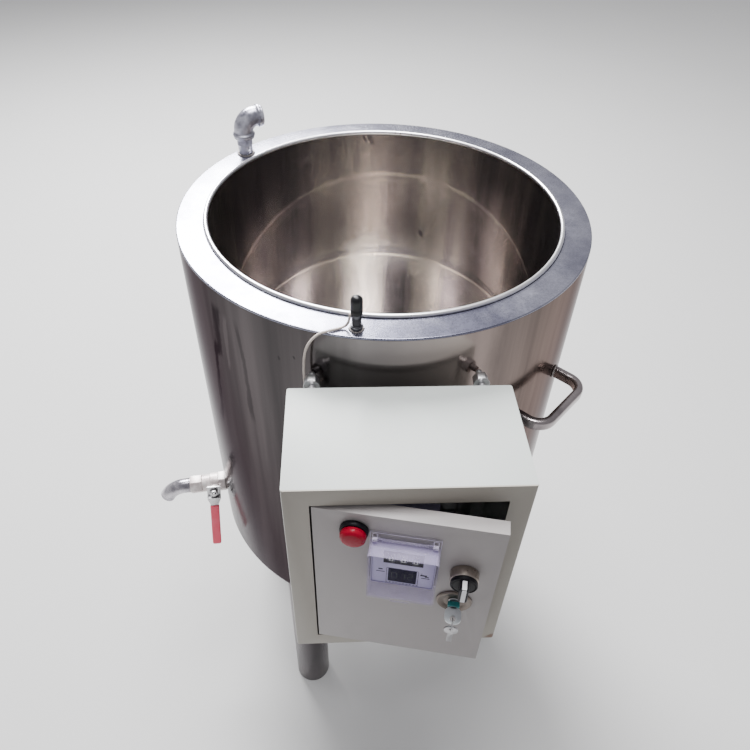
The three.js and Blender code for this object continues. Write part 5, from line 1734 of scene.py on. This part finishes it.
@dataclass
class TemperatureSensor:
    """Probe in the jacket, screwed socket, rubber boot and sheathed lead to the control box."""

    base: Point = polar(-9.9, 265, RIM_TOP)
    probe: Profile = Profile(((0, -120), (3, -120), (3, 20.7), (0, 20.7)), 24, 0.8)
    socket: Profile = Profile(
        ((3.3, GAP), (7, GAP), (7, 5), (5, 5.6), (5, 17), (5.6, 17.6), (5.6, 21), (3.3, 21)), 40, 0.4)
    washer: Profile = Profile(((5, 5.4), (6.3, 5.4), (6.3, 6.8), (5, 6.8)), 40, 0.3)
    thread: Thread = Thread(5.0, 7, 0.4, 1.2, 32)
    thread_foot: float = 8.2
    boot: Profile = Profile(
        ((0, 21.3), (6.2, 21.3), (6.7, 22), (6.7, 26), (6.1, 27.2), (6.1, 28.6), (6.7, 29.8),
         *arc(0.7, 38.3, 6, 0, 90, 8), (0, 44.3)), 40)
    weld: WeldRing = WeldRing(7.4, 22, (1.6, 1.2, 1.1), 12)
    weld_rise: float = 0.5
    lead_radius: float = 1.5
    lead_steps: int = 8
    lead_roundness: int = 3
    lead_route: tuple[Point, ...] = (
        (-52.71, -261.05, 541.0), (-53.09, -261.05, 535.96), (-54.81, -261.05, 529.03), (-57.5, -260.3, 524.0),
        (-62.5, -261.6, 522.0), (-70.0, -264.3, 521.9), (-78.0, -267.5, 522.1), (-86.0, -271.2, 521.9),
        (-92.5, -274.0, 518.0), (-97.8, -275.0, 511.0), (-101.6, -274.6, 501.0), (-103.8, -273.6, 488.0),
        (-104.8, -272.9, 474.0), (-105.0, -272.6, 460.0), (-105.0, -272.9, 448.0), (-105.0, -274.6, 438.0),
        (-105.0, -278.8, 430.0), (-105.0, -284.6, 425.6), (-105.0, -291.0, 425.0), (-105.0, -297.0, 425.0),
    )

    def lead(self) -> Object:
        """Lays the lead along its route as one smooth cord.

        Returns:
            The cord.
        """
        line = through(self.lead_route, self.lead_steps)
        curve = bpy.data.curves.new("sensor_cord", "CURVE")
        curve.dimensions, curve.use_fill_caps = "3D", True
        curve.bevel_depth, curve.bevel_resolution = self.lead_radius * MM, self.lead_roundness
        spline = curve.splines.new("POLY")
        spline.points.add(len(line) - 1)
        for point, put in zip(spline.points, line):
            point.co = (*(put * MM), 1.0)
        spline.use_smooth = True
        curve.materials.append(Palette.material(SHEATH))
        cord = bpy.data.objects.new("sensor_cord", curve)
        bpy.context.collection.objects.link(cord)
        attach(cord, Body.TANK.value)
        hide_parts("sensor_lead")
        length = sum((b - a).length for a, b in zip(line, line[1:])) * MM
        tuple(line[0] * MM)
        return cord

    def build(self) -> list[Object]:
        """Builds and dresses the sensor without its lead.

        Returns:
            The pieces.
        """
        place = Matrix.Translation(self.base)
        probe = Form(place).turned(self.probe)
        socket = Form(place).turned(self.socket).turned(self.washer)
        boot = Form(place).turned(self.boot)
        return [probe.piece("probe_rod", ZINC, Body.TANK, "sensor_probe"),
                socket.piece("sensor_socket_body", SOCKET, Body.TANK, "sensor_socket"),
                self.thread.piece("sensor_threads", shifted(place, z=self.thread_foot), SOCKET),
                boot.piece("sensor_boot_cap", RUBBER, Body.TANK, "sensor_boot", angle=SOFT_CREASE),
                self.weld.piece("sensor_weld", shifted(place, z=self.weld_rise))]


# The drain


@dataclass
class Drain:
    """Drain pipe, ball valve with its lever, and the bent spout.

    The local X axis runs out of the shell along the pipe and local -Y is behind the valve.
    """

    azimuth: float = -82.0
    height: float = -22.0
    pipe: float = 13.45
    bore: float = 10.8
    sides: int = 36
    outlet_at: float = 205.0
    pipe_bend: float = 19.6
    pipe_steps: int = 12
    pipe_end: float = 288.7
    body_across: float = 33.0
    body_span: Span = (282, 294.5)
    body_ease: float = 0.9
    body_turned: Profile = Profile(
        ((10, 294), (16.6, 294), (17.5, 295.2), (17.5, 308.2), (17, 309.2), (15.6, 309.5), (15.6, 323.4), (15, 324),
         (10, 324)), 56, 0.35)
    neck: Profile = Profile(((4.3, 0), (9.5, 0), (9.5, 18), (8.9, 19), (4.3, 19)), 36, 0.3)
    end_across: float = 30.0
    end_span: Span = (324.3, 344.6)
    end_ease: float = 1.1
    end_ring: Profile = Profile(((13.75, 344.4), (14.75, 344.4), (14.75, 345.2), (13.75, 345.2)), 48)
    thread: Thread = Thread(13.35, 3, 0.45, 1.4)
    thread_at: float = 345.4
    spout_start: float = 337.9
    spout_straight: float = 356.6
    spout_bend: float = 36.0
    spout_turn: float = 57.0
    spout_steps: int = 18
    spout_tail: float = 6.0
    weld: WeldRing = WeldRing(14.25, 34, (2.2, 1.8, 1.9), 5)
    weld_offset: float = 0.4

    def place(self) -> Matrix:
        """The drain's local frame."""
        return outward(self.azimuth, self.height)

    def pipework(self) -> Object:
        """The pipe from the pot's floor to the valve.

        Returns:
            The piece.
        """
        bend, start = self.pipe_bend, self.outlet_at
        track = [(start, -POT_WALL - GAP - self.height), *arc(start + bend, bend, bend, 180, 270, self.pipe_steps),
                 (self.pipe_end, 0)]
        form = Form(self.place()).swept([(x, 0, z) for x, z in track], circle(self.pipe, self.sides), up=(0, 1, 0))
        return form.piece("drain_pipe_tube", SPOUT_STEEL, Body.TANK, "drain_pipe", angle=SOFT_CREASE)

    def spout(self) -> Object:
        """The bent spout.

        Returns:
            The piece.
        """
        turn = math.radians(self.spout_turn)
        bend = arc(self.spout_straight, -self.spout_bend, self.spout_bend, 90, 90 - self.spout_turn, self.spout_steps)
        x, z = bend[-1]
        tail = (x + self.spout_tail * math.cos(turn), z - self.spout_tail * math.sin(turn))
        track = [(along, 0, height) for along, height in ((self.spout_start, 0), *bend, tail)]
        outer, inner = circle(self.pipe, self.sides), circle(self.bore, self.sides)
        form = Form(self.place()).tube(track, outer, inner, up=(0, 1, 0))
        return form.piece("spout_tube", SPOUT_STEEL, Body.TANK, "spout", angle=SOFT_CREASE)

    def build(self) -> list[Object]:
        """Builds and dresses the pipe, the valve's two castings, the spout and the weld on the shell.

        Returns:
            The pieces.
        """
        place = self.place()
        body = Form(place).prism(hexagon(self.body_across), self.body_span, self.body_ease, Axis.X)
        body.turned(self.body_turned, Axis.X).turned(self.neck, Axis.Y, (DrainLever.ball_at, 0, 0))
        end = Form(place).prism(hexagon(self.end_across), self.end_span, self.end_ease, Axis.X)
        end.turned(self.end_ring, Axis.X)
        spot = place @ standing((SHELL_RADIUS + self.weld_offset, 0, 0), (0, 0, 1), (1, 0, 0))
        return [self.pipework(), body.piece("valve_casting", CAST, Body.TANK, "valve_body"),
                end.piece("valve_end_casting", CAST, Body.TANK, "valve_end"),
                self.thread.piece("spout_threads", spun(shifted(place, self.thread_at), 90, Axis.Y), SPOUT_STEEL),
                self.spout(), self.weld.piece("drain_weld", spot)]


@dataclass
class DrainLever:
    """Ball, stem, nut, bent lever and its red sleeve, which turn together.

    The sleeve's rings are (distance from its foot or its top, scale).
    """

    ball_at: float = 304.0
    off_stop: float = 5.0
    ball: Profile = Profile(((9.7, -9.5), *arc(0, 0, 13.6, -44.3, 44.3, 12), (9.7, 9.5)), 48)
    stem: Profile = Profile(((0, 14.6), (4, 14.6), (4, 31.1), (0, 31.1)), 28, 0.5)
    nut_across: float = 13.0
    nut_span: Span = (22.1, 28.1)
    nut_ease: float = 0.7
    arm: EasedNode = EasedNode("lever_arm", ZINC, 0.5, name="lever_strip")
    arm_front: float = 28.8
    arm_thickness: float = 2.5
    arm_reach: float = 128.0
    arm_knee: float = 14.5
    arm_slant: float = 9.6
    sleeve_length: float = 97.0
    sleeve_width: float = 16.5
    sleeve_thickness: float = 6.5
    sleeve_rounding: float = 2.9
    sleeve_foot: tuple[Span, ...] = ((0, 0.72), (0.8, 0.88), (2.4, 0.98), (5, 1.0))
    sleeve_top: tuple[Span, ...] = ((-13, 1.0), (-11.5, 0.985), (-10.5, 1.0), (-1.2, 1.0), (0, 0.93))

    def sleeve(self, place: Matrix) -> Object:
        """The red sleeve on the lever.

        Args:
            place: The frame of what turns.

        Returns:
            The piece.
        """
        lean = math.cos(math.radians(self.arm_slant))
        foot = (self.arm_knee - self.arm_reach) / lean
        top = (self.arm_knee - self.arm_reach + self.sleeve_length) / lean
        rings = [(base + off, scale) for base, end in ((foot, self.sleeve_foot), (top, self.sleeve_top))
                 for off, scale in end]
        knee = shifted(place, y=self.arm_front - self.arm_thickness / 2, z=-self.arm_knee)
        section = rounded_rectangle(self.sleeve_width, self.sleeve_thickness, self.sleeve_rounding)
        form = Form(spun(knee, self.arm_slant, Axis.X))
        form.swept([(0, 0, h) for h, _ in rings], section, up=(0, 1, 0), sizes=[scale for _, scale in rings])
        return form.piece("lever_sleeve", RED_VINYL, Body.LEVER, "lever_grip", angle=SOFT_CREASE)

    def build(self, drain: Matrix) -> list[Object]:
        """Builds and dresses what turns with the lever.

        Args:
            drain: The drain's local frame.

        Returns:
            The pieces.
        """
        place = spun(shifted(drain, self.ball_at), -self.off_stop, Axis.Y)
        nut = Form(place).prism(hexagon(self.nut_across), self.nut_span, self.nut_ease, Axis.Y)
        return [Form(place).turned(self.ball).piece("valve_ball_turned", ZINC, Body.LEVER, "valve_ball"),
                Form(place).turned(self.stem, Axis.Y).piece("valve_stem_turned", ZINC, Body.LEVER, "valve_stem"),
                nut.piece("lever_nut_piece", ZINC, Body.LEVER, "lever_nut"), self.arm.piece(), self.sleeve(place)]


# The heater


@dataclass
class Heater:
    """Screw-in heater below the box, and its terminal cap, whose outline starts at its mouth."""

    height: float = -28.0
    cap_at: float = 304.6
    cap: Profile = Profile(
        ((0, 30), (19, 30), (22.4, 29.2), (24, 26.6), (24, 4), (24, 0), (22, 0), (22, 26), (0, 26)), 64, 0.6)

    def build(self) -> list[Object]:
        """Builds and dresses the heater."""
        cap = Form(standing((0, 0, self.height), (0, -1, 0), (0, 0, 1))).turned(self.cap.at(self.cap_at), Axis.X)
        return [dress_node("heater_element", BRASS),
                cap.piece("terminal_cap_moulding", BLACK, Body.TANK, "terminal_cap")]


# The control box


@dataclass
class ControlBox:
    """Folded case on two studs, with its grommet, glands, back plate and switchgear.

    Outlines along Y count from the box's back, and the glands' from its floor.
    """

    back: float = -300.5
    bottom: float = 154.0
    case: EasedNode = EasedNode("enclosure", COAT, 0.7, 3, "box_case")
    grommet_at: Point = (-105.0, 0.0, 425.0)
    grommet: Profile = Profile(
        ((0, -3), (5, -3), (5, GAP), (8, GAP), (8, 1.6), (6.4, 3.1), (0, 3.2)), 32, 0.5)
    glands: tuple[tuple[str, float], ...] = (("power_gland", 62.0), ("heater_gland", 2.0))
    gland_y: float = -372.0
    gland_across: float = 24.0
    gland_flats: float = 6.0
    gland_below: Profile = Profile(
        ((4.5, -18), (7.4, -18), (9.6, -16), (11, -12), (11, -6), (4.5, -6)), 36, 0.8)
    gland_inside: Profile = Profile(((4.5, 0), (8, 0), (8, 9), (4.5, 9)), 36, 0.4)
    stud_spread: float = 96.5
    stud_height: float = 457.5
    stud: Profile = Profile(((0, -12), (3.7, -12), (3.7, 35.5), (0, 35.5)), 28, 0.5)
    stud_thread: Thread = Thread(3.62, 36, 0.38, 1.25, 24)
    stud_thread_at: float = -312.0
    nut_at: float = 13.0
    nut_across: float = 16.0
    nut_span: Span = (2.0, 13.5)
    nut_ease: float = 0.9
    nut_flange: Profile = Profile(((4.3, 0), (9.5, 0), (9.5, 1.2), (8.6, 2.5), (4.3, 2.5)), 40, 0.4)
    fittings: tuple[EasedNode, ...] = (
        EasedNode("mounting_plate", ZINC, 0.25, 1), EasedNode("contactor", BLACK, 0.6),
        EasedNode("terminal_block", GREY, 0.3, 1))

    def gland(self, name: str, x: float) -> Object:
        """A cable gland in the box's floor.

        Args:
            name: Its CAD node.
            x: Its place across the box.

        Returns:
            The piece.
        """
        top = self.bottom - GAP
        form = Form(Matrix.Translation((x, self.gland_y, 0)))
        form.prism(hexagon(self.gland_across), (top - self.gland_flats, top), self.gland_below.ease)
        form.turned(self.gland_below.at(top)).turned(self.gland_inside.at(top))
        return form.piece(f"{name}_moulding", BLACK, Body.TANK, name)

    def hung(self, side: int, name: str) -> list[Object]:
        """A threaded stud from the shell, with its flanged nut.

        Args:
            side: -1 for the left and 1 for the right.
            name: The side's name.

        Returns:
            The pieces.
        """
        place = Matrix.Translation((side * self.stud_spread, 0, self.stud_height))
        stud = Form(place).turned(self.stud.at(self.back), Axis.Y)
        along = spun(shifted(place, y=self.stud_thread_at), -90, Axis.X)
        foot = self.back + self.nut_at
        span = (foot + self.nut_span[0], foot + self.nut_span[1])
        nut = Form(place).prism(hexagon(self.nut_across), span, self.nut_ease, Axis.Y)
        nut.turned(self.nut_flange.at(foot), Axis.Y)
        return [stud.piece(f"stud_rod_{name}", ZINC, Body.TANK, f"stud_{name}"),
                self.stud_thread.piece(f"stud_threads_{name}", along, ZINC),
                nut.piece(f"stud_nut_piece_{name}", ZINC, Body.TANK, f"stud_nut_{name}")]

    def build(self) -> list[Object]:
        """Builds and dresses the box.

        Returns:
            The pieces.
        """
        case = self.case.piece()
        grommet = Form(Matrix.Translation(self.grommet_at)).turned(self.grommet.at(self.back), Axis.Y)
        return [case, grommet.piece("lead_grommet_ring", RUBBER, Body.TANK, "lead_grommet"),
                *(self.gland(name, x) for name, x in self.glands), *self.hung(-1, "left"), *self.hung(1, "right"),
                *(fitting.piece() for fitting in self.fittings)]


# The door and its devices


@dataclass
class Device:
    """A device on the door leaf, which stands ajar: u along it from its hinged edge, and v over its foot."""

    u: float = 0.0
    v: float = 0.0
    hinge: tuple[float, float] = (-87.5, -435.5)
    foot: float = 179.0
    ajar: float = 11.3
    inset: float = 6.0

    @property
    def place(self) -> Matrix:
        """Its frame: X along the leaf, Y up, Z outwards from the leaf's face.

        Returns:
            The frame.
        """
        a = -math.radians(self.ajar)
        along, inwards = Vector((math.cos(a), math.sin(a), 0)), Vector((-math.sin(a), math.cos(a), 0))
        origin = Vector((*self.hinge, self.foot + self.v)) + along * (self.u - self.inset) - inwards * self.inset
        return standing(tuple(origin), tuple(along), tuple(-inwards))


@dataclass
class DoorLeaf:
    """Folded leaf with its knuckles."""

    leaf: EasedNode = EasedNode("door_leaf", SHADED_DOOR_COAT, 0.6, 3, "leaf_sheet")

    def build(self) -> list[Object]:
        """Builds and dresses the leaf."""
        return [self.leaf.piece()]


@dataclass
class PilotLamp(Device):
    """Black bezel and red lens with moulded ribs."""

    u: float = 43.4
    v: float = 238.0
    bezel: Profile = Profile(
        ((0, -36), (11, -36), (11, GAP), (14.8, GAP), (14.8, 4.2), (13.9, 6), (0, 6)), 64, 0.6)
    nut_across: float = 27.0
    nut_span: Span = (-5.5, -1.5)
    nut_ease: float = 0.5
    lens: Profile = Profile(
        ((0, 6.3), (13.4, 6.3), (13.4, 10.6), (12.6, 13.2), (10, 15.1), (5.5, 15.9), (0, 16)), 64, 1.6)
    ribs_at: float = 8.4
    ribs_radius: float = 13.3
    ribs: int = 48
    rib: Point = (0.6, 0.7, 3.6)

    def build(self) -> list[Object]:
        """Builds and dresses the lamp.

        Returns:
            The pieces.
        """
        bezel = Form(self.place).turned(self.bezel).prism(hexagon(self.nut_across), self.nut_span, self.nut_ease)
        ribs = RepeatPattern(Repeat.SPOKES, shifted(self.place, z=self.ribs_at), self.ribs_radius, self.ribs, self.rib)
        return [bezel.piece("lamp_bezel", BLACK, Body.DOOR, "lamp_body"),
                Form(self.place).turned(self.lens).piece("lamp_lens_red", RED_LENS, Body.DOOR, "lamp_lens"),
                ribs.piece("lamp_lens_ribs", RED_LENS, Body.DOOR)]


@dataclass
class Controller(Device):
    """Panel controller with its display and thumbwheels, behind a clear cover.

    Bars and marks are (x, y, width, height) on the face, and ink is their lowest and highest place over the leaf.
    """

    u: float = 95.4
    v: float = 192.0
    housings: tuple[EasedNode, ...] = (
        EasedNode("controller_case", CASE, 0.6, name="controller_frame"),
        EasedNode("controller_face", LILAC, 0.2, 1, "controller_panel"),
        EasedNode("display_window", SCREEN, 0.3, 2, "display_glass"),
        EasedNode("cover_base", CLEAR, 0.4, 2, "cover_seat"))
    cover: EasedNode = EasedNode("clear_cover", CLEAR, 0.74, 2, "flip_cover")
    # Least share of the painted sheen on the cover's side walls.
    cover_side_sheen: float = 0.3
    ink: Span = (7.95, 8.1)
    digit_y: float = -16.0
    digits_lit: tuple[tuple[float, tuple[str, ...]], ...] = (
        (-8.4, ("nw", "ne", "sw", "se", "top", "low")), (0, ("ne", "se")),
        (8.4, ("top", "ne", "mid", "sw", "low")))
    digit_bars: tuple[tuple[str, tuple[float, float, float, float]], ...] = (
        ("top", (0, 5.2, 4.2, 0.9)), ("mid", (0, 0, 4.2, 0.9)), ("low", (0, -5.2, 4.2, 0.9)),
        ("nw", (-2.6, 2.6, 0.9, 4.2)), ("ne", (2.6, 2.6, 0.9, 4.2)), ("sw", (-2.6, -2.6, 0.9, 4.2)),
        ("se", (2.6, -2.6, 0.9, 4.2)))
    index_marks: tuple[tuple[float, float, float, float], ...] = (
        (-23, -7, 4.5, 2.2), (-23, -11.5, 9, 1.2), (22, -9, 7, 2.4), (25.5, -11, 4, 1.6), (24, -14, 9, 1.2),
        (20, -6.2, 1.2, 1.2), (-16.6, -16, 0.5, 25), (16.6, -16, 0.5, 25), (0, -2.8, 33, 0.5),
        *((3.6 * k - 16.2, -30.2, 2.2, 1.1) for k in range(10)))
    window_half: float = 11.0
    window_side: float = 20.5
    window_rail: float = 4.2
    window_posts: tuple[Span, ...] = ((-20.5, -16.0), (-8.8, -3.7), (3.7, 8.8), (16.0, 20.5))
    wheel_pitch: float = 12.5
    wheel_rise: float = 17.0
    wheel_sink: float = -0.6
    wheel: Profile = Profile(((0, -3), (10.3, -3), (10.3, 3), (0, 3)), 60, 0.4)
    wheel_hub: Profile = Profile(((0, -5), (1.6, -5), (1.6, 5), (0, 5)), 20, 0.2)
    wheel_figure: tuple[tuple[Span, Span], ...] = (
        ((-2.2, -1.4), (-2.6, 2.6)), ((1.4, 2.2), (-2.6, 2.6)), ((-1.4, 1.4), (-2.6, -1.8)),
        ((-1.4, 1.4), (1.8, 2.6)))
    figure_ink: Span = (9.9, 11.0)
    grips: int = 30
    grips_radius: float = 10.4
    grip: Point = (1.1, 0.7, 5.8)

    def digits(self) -> Object:
        """Seven-bar figures behind the display's window.

        Returns:
            The piece.
        """
        form, bars = Form(self.place), dict(self.digit_bars)
        for x, lit in self.digits_lit:
            for key in lit:
                off, up, width, height = bars[key]
                form.plate(x + off, up + self.digit_y, width, height, self.ink)
        return form.piece("display_figures", FIGURES, Body.DOOR)

    def marks(self) -> Object:
        """Plain index marks on the face.

        Returns:
            The piece.
        """
        form = Form(self.place)
        for mark in self.index_marks:
            form.plate(*mark, self.ink)
        return form.piece("face_marks", BLACK, Body.DOOR)

    def surround(self) -> Object:
        """Dark surround of the thumbwheel windows.

        Returns:
            The piece.
        """
        form = Form(self.place)
        low, high = self.wheel_rise - self.window_half, self.wheel_rise + self.window_half
        for post in self.window_posts:
            form.block(post, (low, high), self.ink)
        for y in (low, high - self.window_rail):
            form.block((-self.window_side, self.window_side), (y, y + self.window_rail), self.ink)
        return form.piece("window_surround", BLACK, Body.DOOR)

    def thumbwheel(self, number: int) -> list[Object]:
        """A numbered thumbwheel with grip ridges.

        Args:
            number: Its number from the left, from 1.

        Returns:
            The pieces.
        """
        body = Body(f"wheel_{number}")
        spot = shifted(self.place, (number - 2) * self.wheel_pitch, self.wheel_rise, self.wheel_sink)
        wheel = Form(spot).turned(self.wheel, Axis.X).turned(self.wheel_hub, Axis.X)
        figure = Form(spot)
        for x, y in self.wheel_figure:
            figure.block(x, y, self.figure_ink)
        grips = RepeatPattern(Repeat.SPOKES, spun(spot, 90, Axis.Y), self.grips_radius, self.grips, self.grip)
        return [wheel.piece(f"number_wheel_{number}", BLACK, body, f"thumbwheel_{number}"),
                figure.piece(f"wheel_figure_{number}", WHITE_MARK, body),
                grips.piece(f"wheel_grips_{number}", BLACK, body)]

    def cover_with_side_sheen(self) -> Object:
        """The clear cover, with a painted sheen on its side walls, which stands for the light that they catch, seen
        along their length, more than its front.

        Returns:
            The piece.
        """
        cover, out = self.cover.piece(), self.place.to_3x3().col[2]
        worn = cover.data.attributes[WEAR_AND_SHEEN].data
        # Painted sheen: faces of the side walls take at least the share cover_side_sheen of the edge mask.
        for face in cover.data.polygons:
            if abs(face.normal.dot(out)) < 0.5:
                worn[face.index].value = max(worn[face.index].value, self.cover_side_sheen)
        return cover

    def build(self) -> list[Object]:
        """Builds and dresses the controller.

        Returns:
            The pieces.
        """
        pieces = [*(housing.piece() for housing in self.housings), self.cover_with_side_sheen(),
                  self.digits(), self.marks(), self.surround()]
        for number in (1, 2, 3):
            pieces.extend(self.thumbwheel(number))
        return pieces


@dataclass
class Selector(Device):
    """Rotary selector with a steel collar and a black knob that carries a white line."""

    u: float = 158.9
    v: float = 187.0
    bezel: Profile = Profile(
        ((4.3, -6.7), (11, -6.7), (11, GAP), (15, GAP), (15, 10.4), (14.5, 11.3), (12.6, 11.4), (4.3, 11.4)),
        72, 0.4)
    trim: Profile = Profile(((12.5, 11.5), (14.2, 11.5), (14.2, 14.9), (13.6, 15.6), (12.5, 15.7)), 64)
    disc: Profile = Profile(((0, 11.7), (12.2, 11.7), (12.2, 15), (11.4, 15.7), (0, 15.7)), 64, 0.4)
    shaft: Profile = Profile(((0, -6.7), (4, -6.7), (4, 12), (0, 12)), 24)
    lever: Slab = Slab(9.2, 24, 3, (15.4, 27.2), 1.1, 3)
    line_on_top: Slab = Slab(4.6, 22.2, 0.8, (27.1, 27.32), middle=(0, 0.3))
    line_at_end: Slab = Slab(4.6, 10.2, 0.6, (11.95, 12.12), middle=(0, 21.4))
    contacts: EasedNode = EasedNode("selector_block", BLACK, 0.8)

    def build(self) -> list[Object]:
        """Builds and dresses the selector.

        Returns:
            The pieces.
        """
        knob = Form(self.place).turned(self.disc).turned(self.shaft).slab(self.lever)
        mark = Form(self.place).slab(self.line_on_top).slab(self.line_at_end, Axis.Y)
        return [Form(self.place).turned(self.bezel).piece("selector_collar", COLLAR, Body.DOOR, "selector_bezel"),
                Form(self.place).turned(self.trim).piece("selector_trim", BLACK, Body.DOOR),
                knob.piece("selector_handle", BLACK, Body.SELECTOR, "selector_knob"),
                mark.piece("selector_mark", WHITE_MARK, Body.SELECTOR), self.contacts.piece()]


@dataclass
class CamLock(Device):
    """Cam lock with its dished plate, the key in it, and a spare key on a ring."""

    u: float = 153.8
    v: float = 130.0
    plate: Profile = Profile(
        ((6.3, -20), (9.5, -20), (9.5, GAP), (19.5, GAP), (19.5, 1.7), (18.6, 3.0), (17.7, 3.4), (13.5, 2.5),
         (11.3, 1.6), (9.5, 1.75), (8.6, 1.7), (6.3, 1.7)), 72, 0.3)
    plug: Profile = Profile(((0, -20), (6, -20), (6, 1.7), (5.5, 2.2), (0, 2.2)), 40, 0.2)
    tail: Profile = Profile(((0, -25.3), (2.7, -25.3), (2.7, -19.7), (0, -19.7)), 24, 0.4)
    cam: EasedNode = EasedNode("lock_cam", ZINC, 0.4)
    blade: Slab = Slab(7.2, 23.8, 1.0, (-1.1, 1.1), 0.25, middle=(0, -0.9))
    bow: Slab = Slab(18, 19, 8.5, (-1.1, 1.1), 0.45, middle=(0, 18.5))
    hole: Profile = Profile(((0, -8), (3.4, -8), (3.4, 8), (0, 8)), 28)
    hole_at: float = 22.0
    collar: Slab = Slab(13, 6, 2, (3, 8.7), 0.7, 3)
    ring_radius: float = 7.0
    ring_sides: int = 48
    ring_wire: float = 0.7
    ring_wire_sides: int = 8
    ring_at: Point = (0.0, -4.8, 26.7)
    spare: EasedNode = EasedNode("spare_key", ZINC, 0.3, name="spare_blank")

    def key(self) -> Object:
        """The key's bow and blade with the ring's hole.

        Returns:
            The piece.
        """
        form = Form(self.place).slab(self.blade, Axis.Y).slab(self.bow, Axis.Y)
        drill = Form(self.place).turned(self.hole, Axis.Y, (0, 0, self.hole_at))
        mesh = drilled(form.to_mesh("key_blank"), drill.to_mesh("key_drill"))
        return settle("main_key", mesh, KEY_METAL, Body.LOCK, ("key",), KEY_CREASE)

    def ring(self) -> Object:
        """The wire ring through both keys.

        Returns:
            The piece.
        """
        turns = [2 * math.pi * k / self.ring_sides for k in range(self.ring_sides)]
        loop = [(0, self.ring_radius * math.cos(a), self.ring_radius * math.sin(a)) for a in turns]
        wire = circle(self.ring_wire, self.ring_wire_sides)
        form = Form(shifted(self.place, *self.ring_at)).swept(loop, wire, closed=True, up=(1, 0, 0))
        return form.piece("split_ring", ZINC, Body.RING, "key_ring", angle=BAR_CREASE)

    def build(self) -> list[Object]:
        """Builds and dresses the lock and its keys."""
        plug = Form(self.place).turned(self.plug).turned(self.tail)
        return [Form(self.place).turned(self.plate).piece("lock_plate", BRONZE, Body.DOOR, "lock_body"),
                plug.piece("lock_barrel", ZINC, Body.LOCK, "lock_plug"), self.cam.piece(), self.key(),
                Form(self.place).slab(self.collar).piece("key_sleeve", TEAL, Body.LOCK, "key_collar"),
                self.ring(), self.spare.piece()]


def main() -> None:
    """Builds the melter around its frame and reports each piece."""
    logging.basicConfig(level=logging.INFO, format="%(name)s: %(message)s")
    FRAME.update(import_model())
    studio = Studio()
    studio.camera()
    sensor, drain = TemperatureSensor(), Drain()
    pieces = [sensor.lead()]
    for part in (Vessel(), Handles(), JacketVent(), sensor, drain):
        pieces.extend(part.build())
    pieces.extend(DrainLever().build(drain.place()))
    for part in (Heater(), ControlBox(), DoorLeaf(), PilotLamp(), Controller(), Selector(), CamLock()):
        pieces.extend(part.build())
    studio.lights()
    studio.floor()
    for piece in pieces:
        LOG.info("%s rides on %s", piece.name, body_of(piece))


if __name__ == "__main__":
    main()
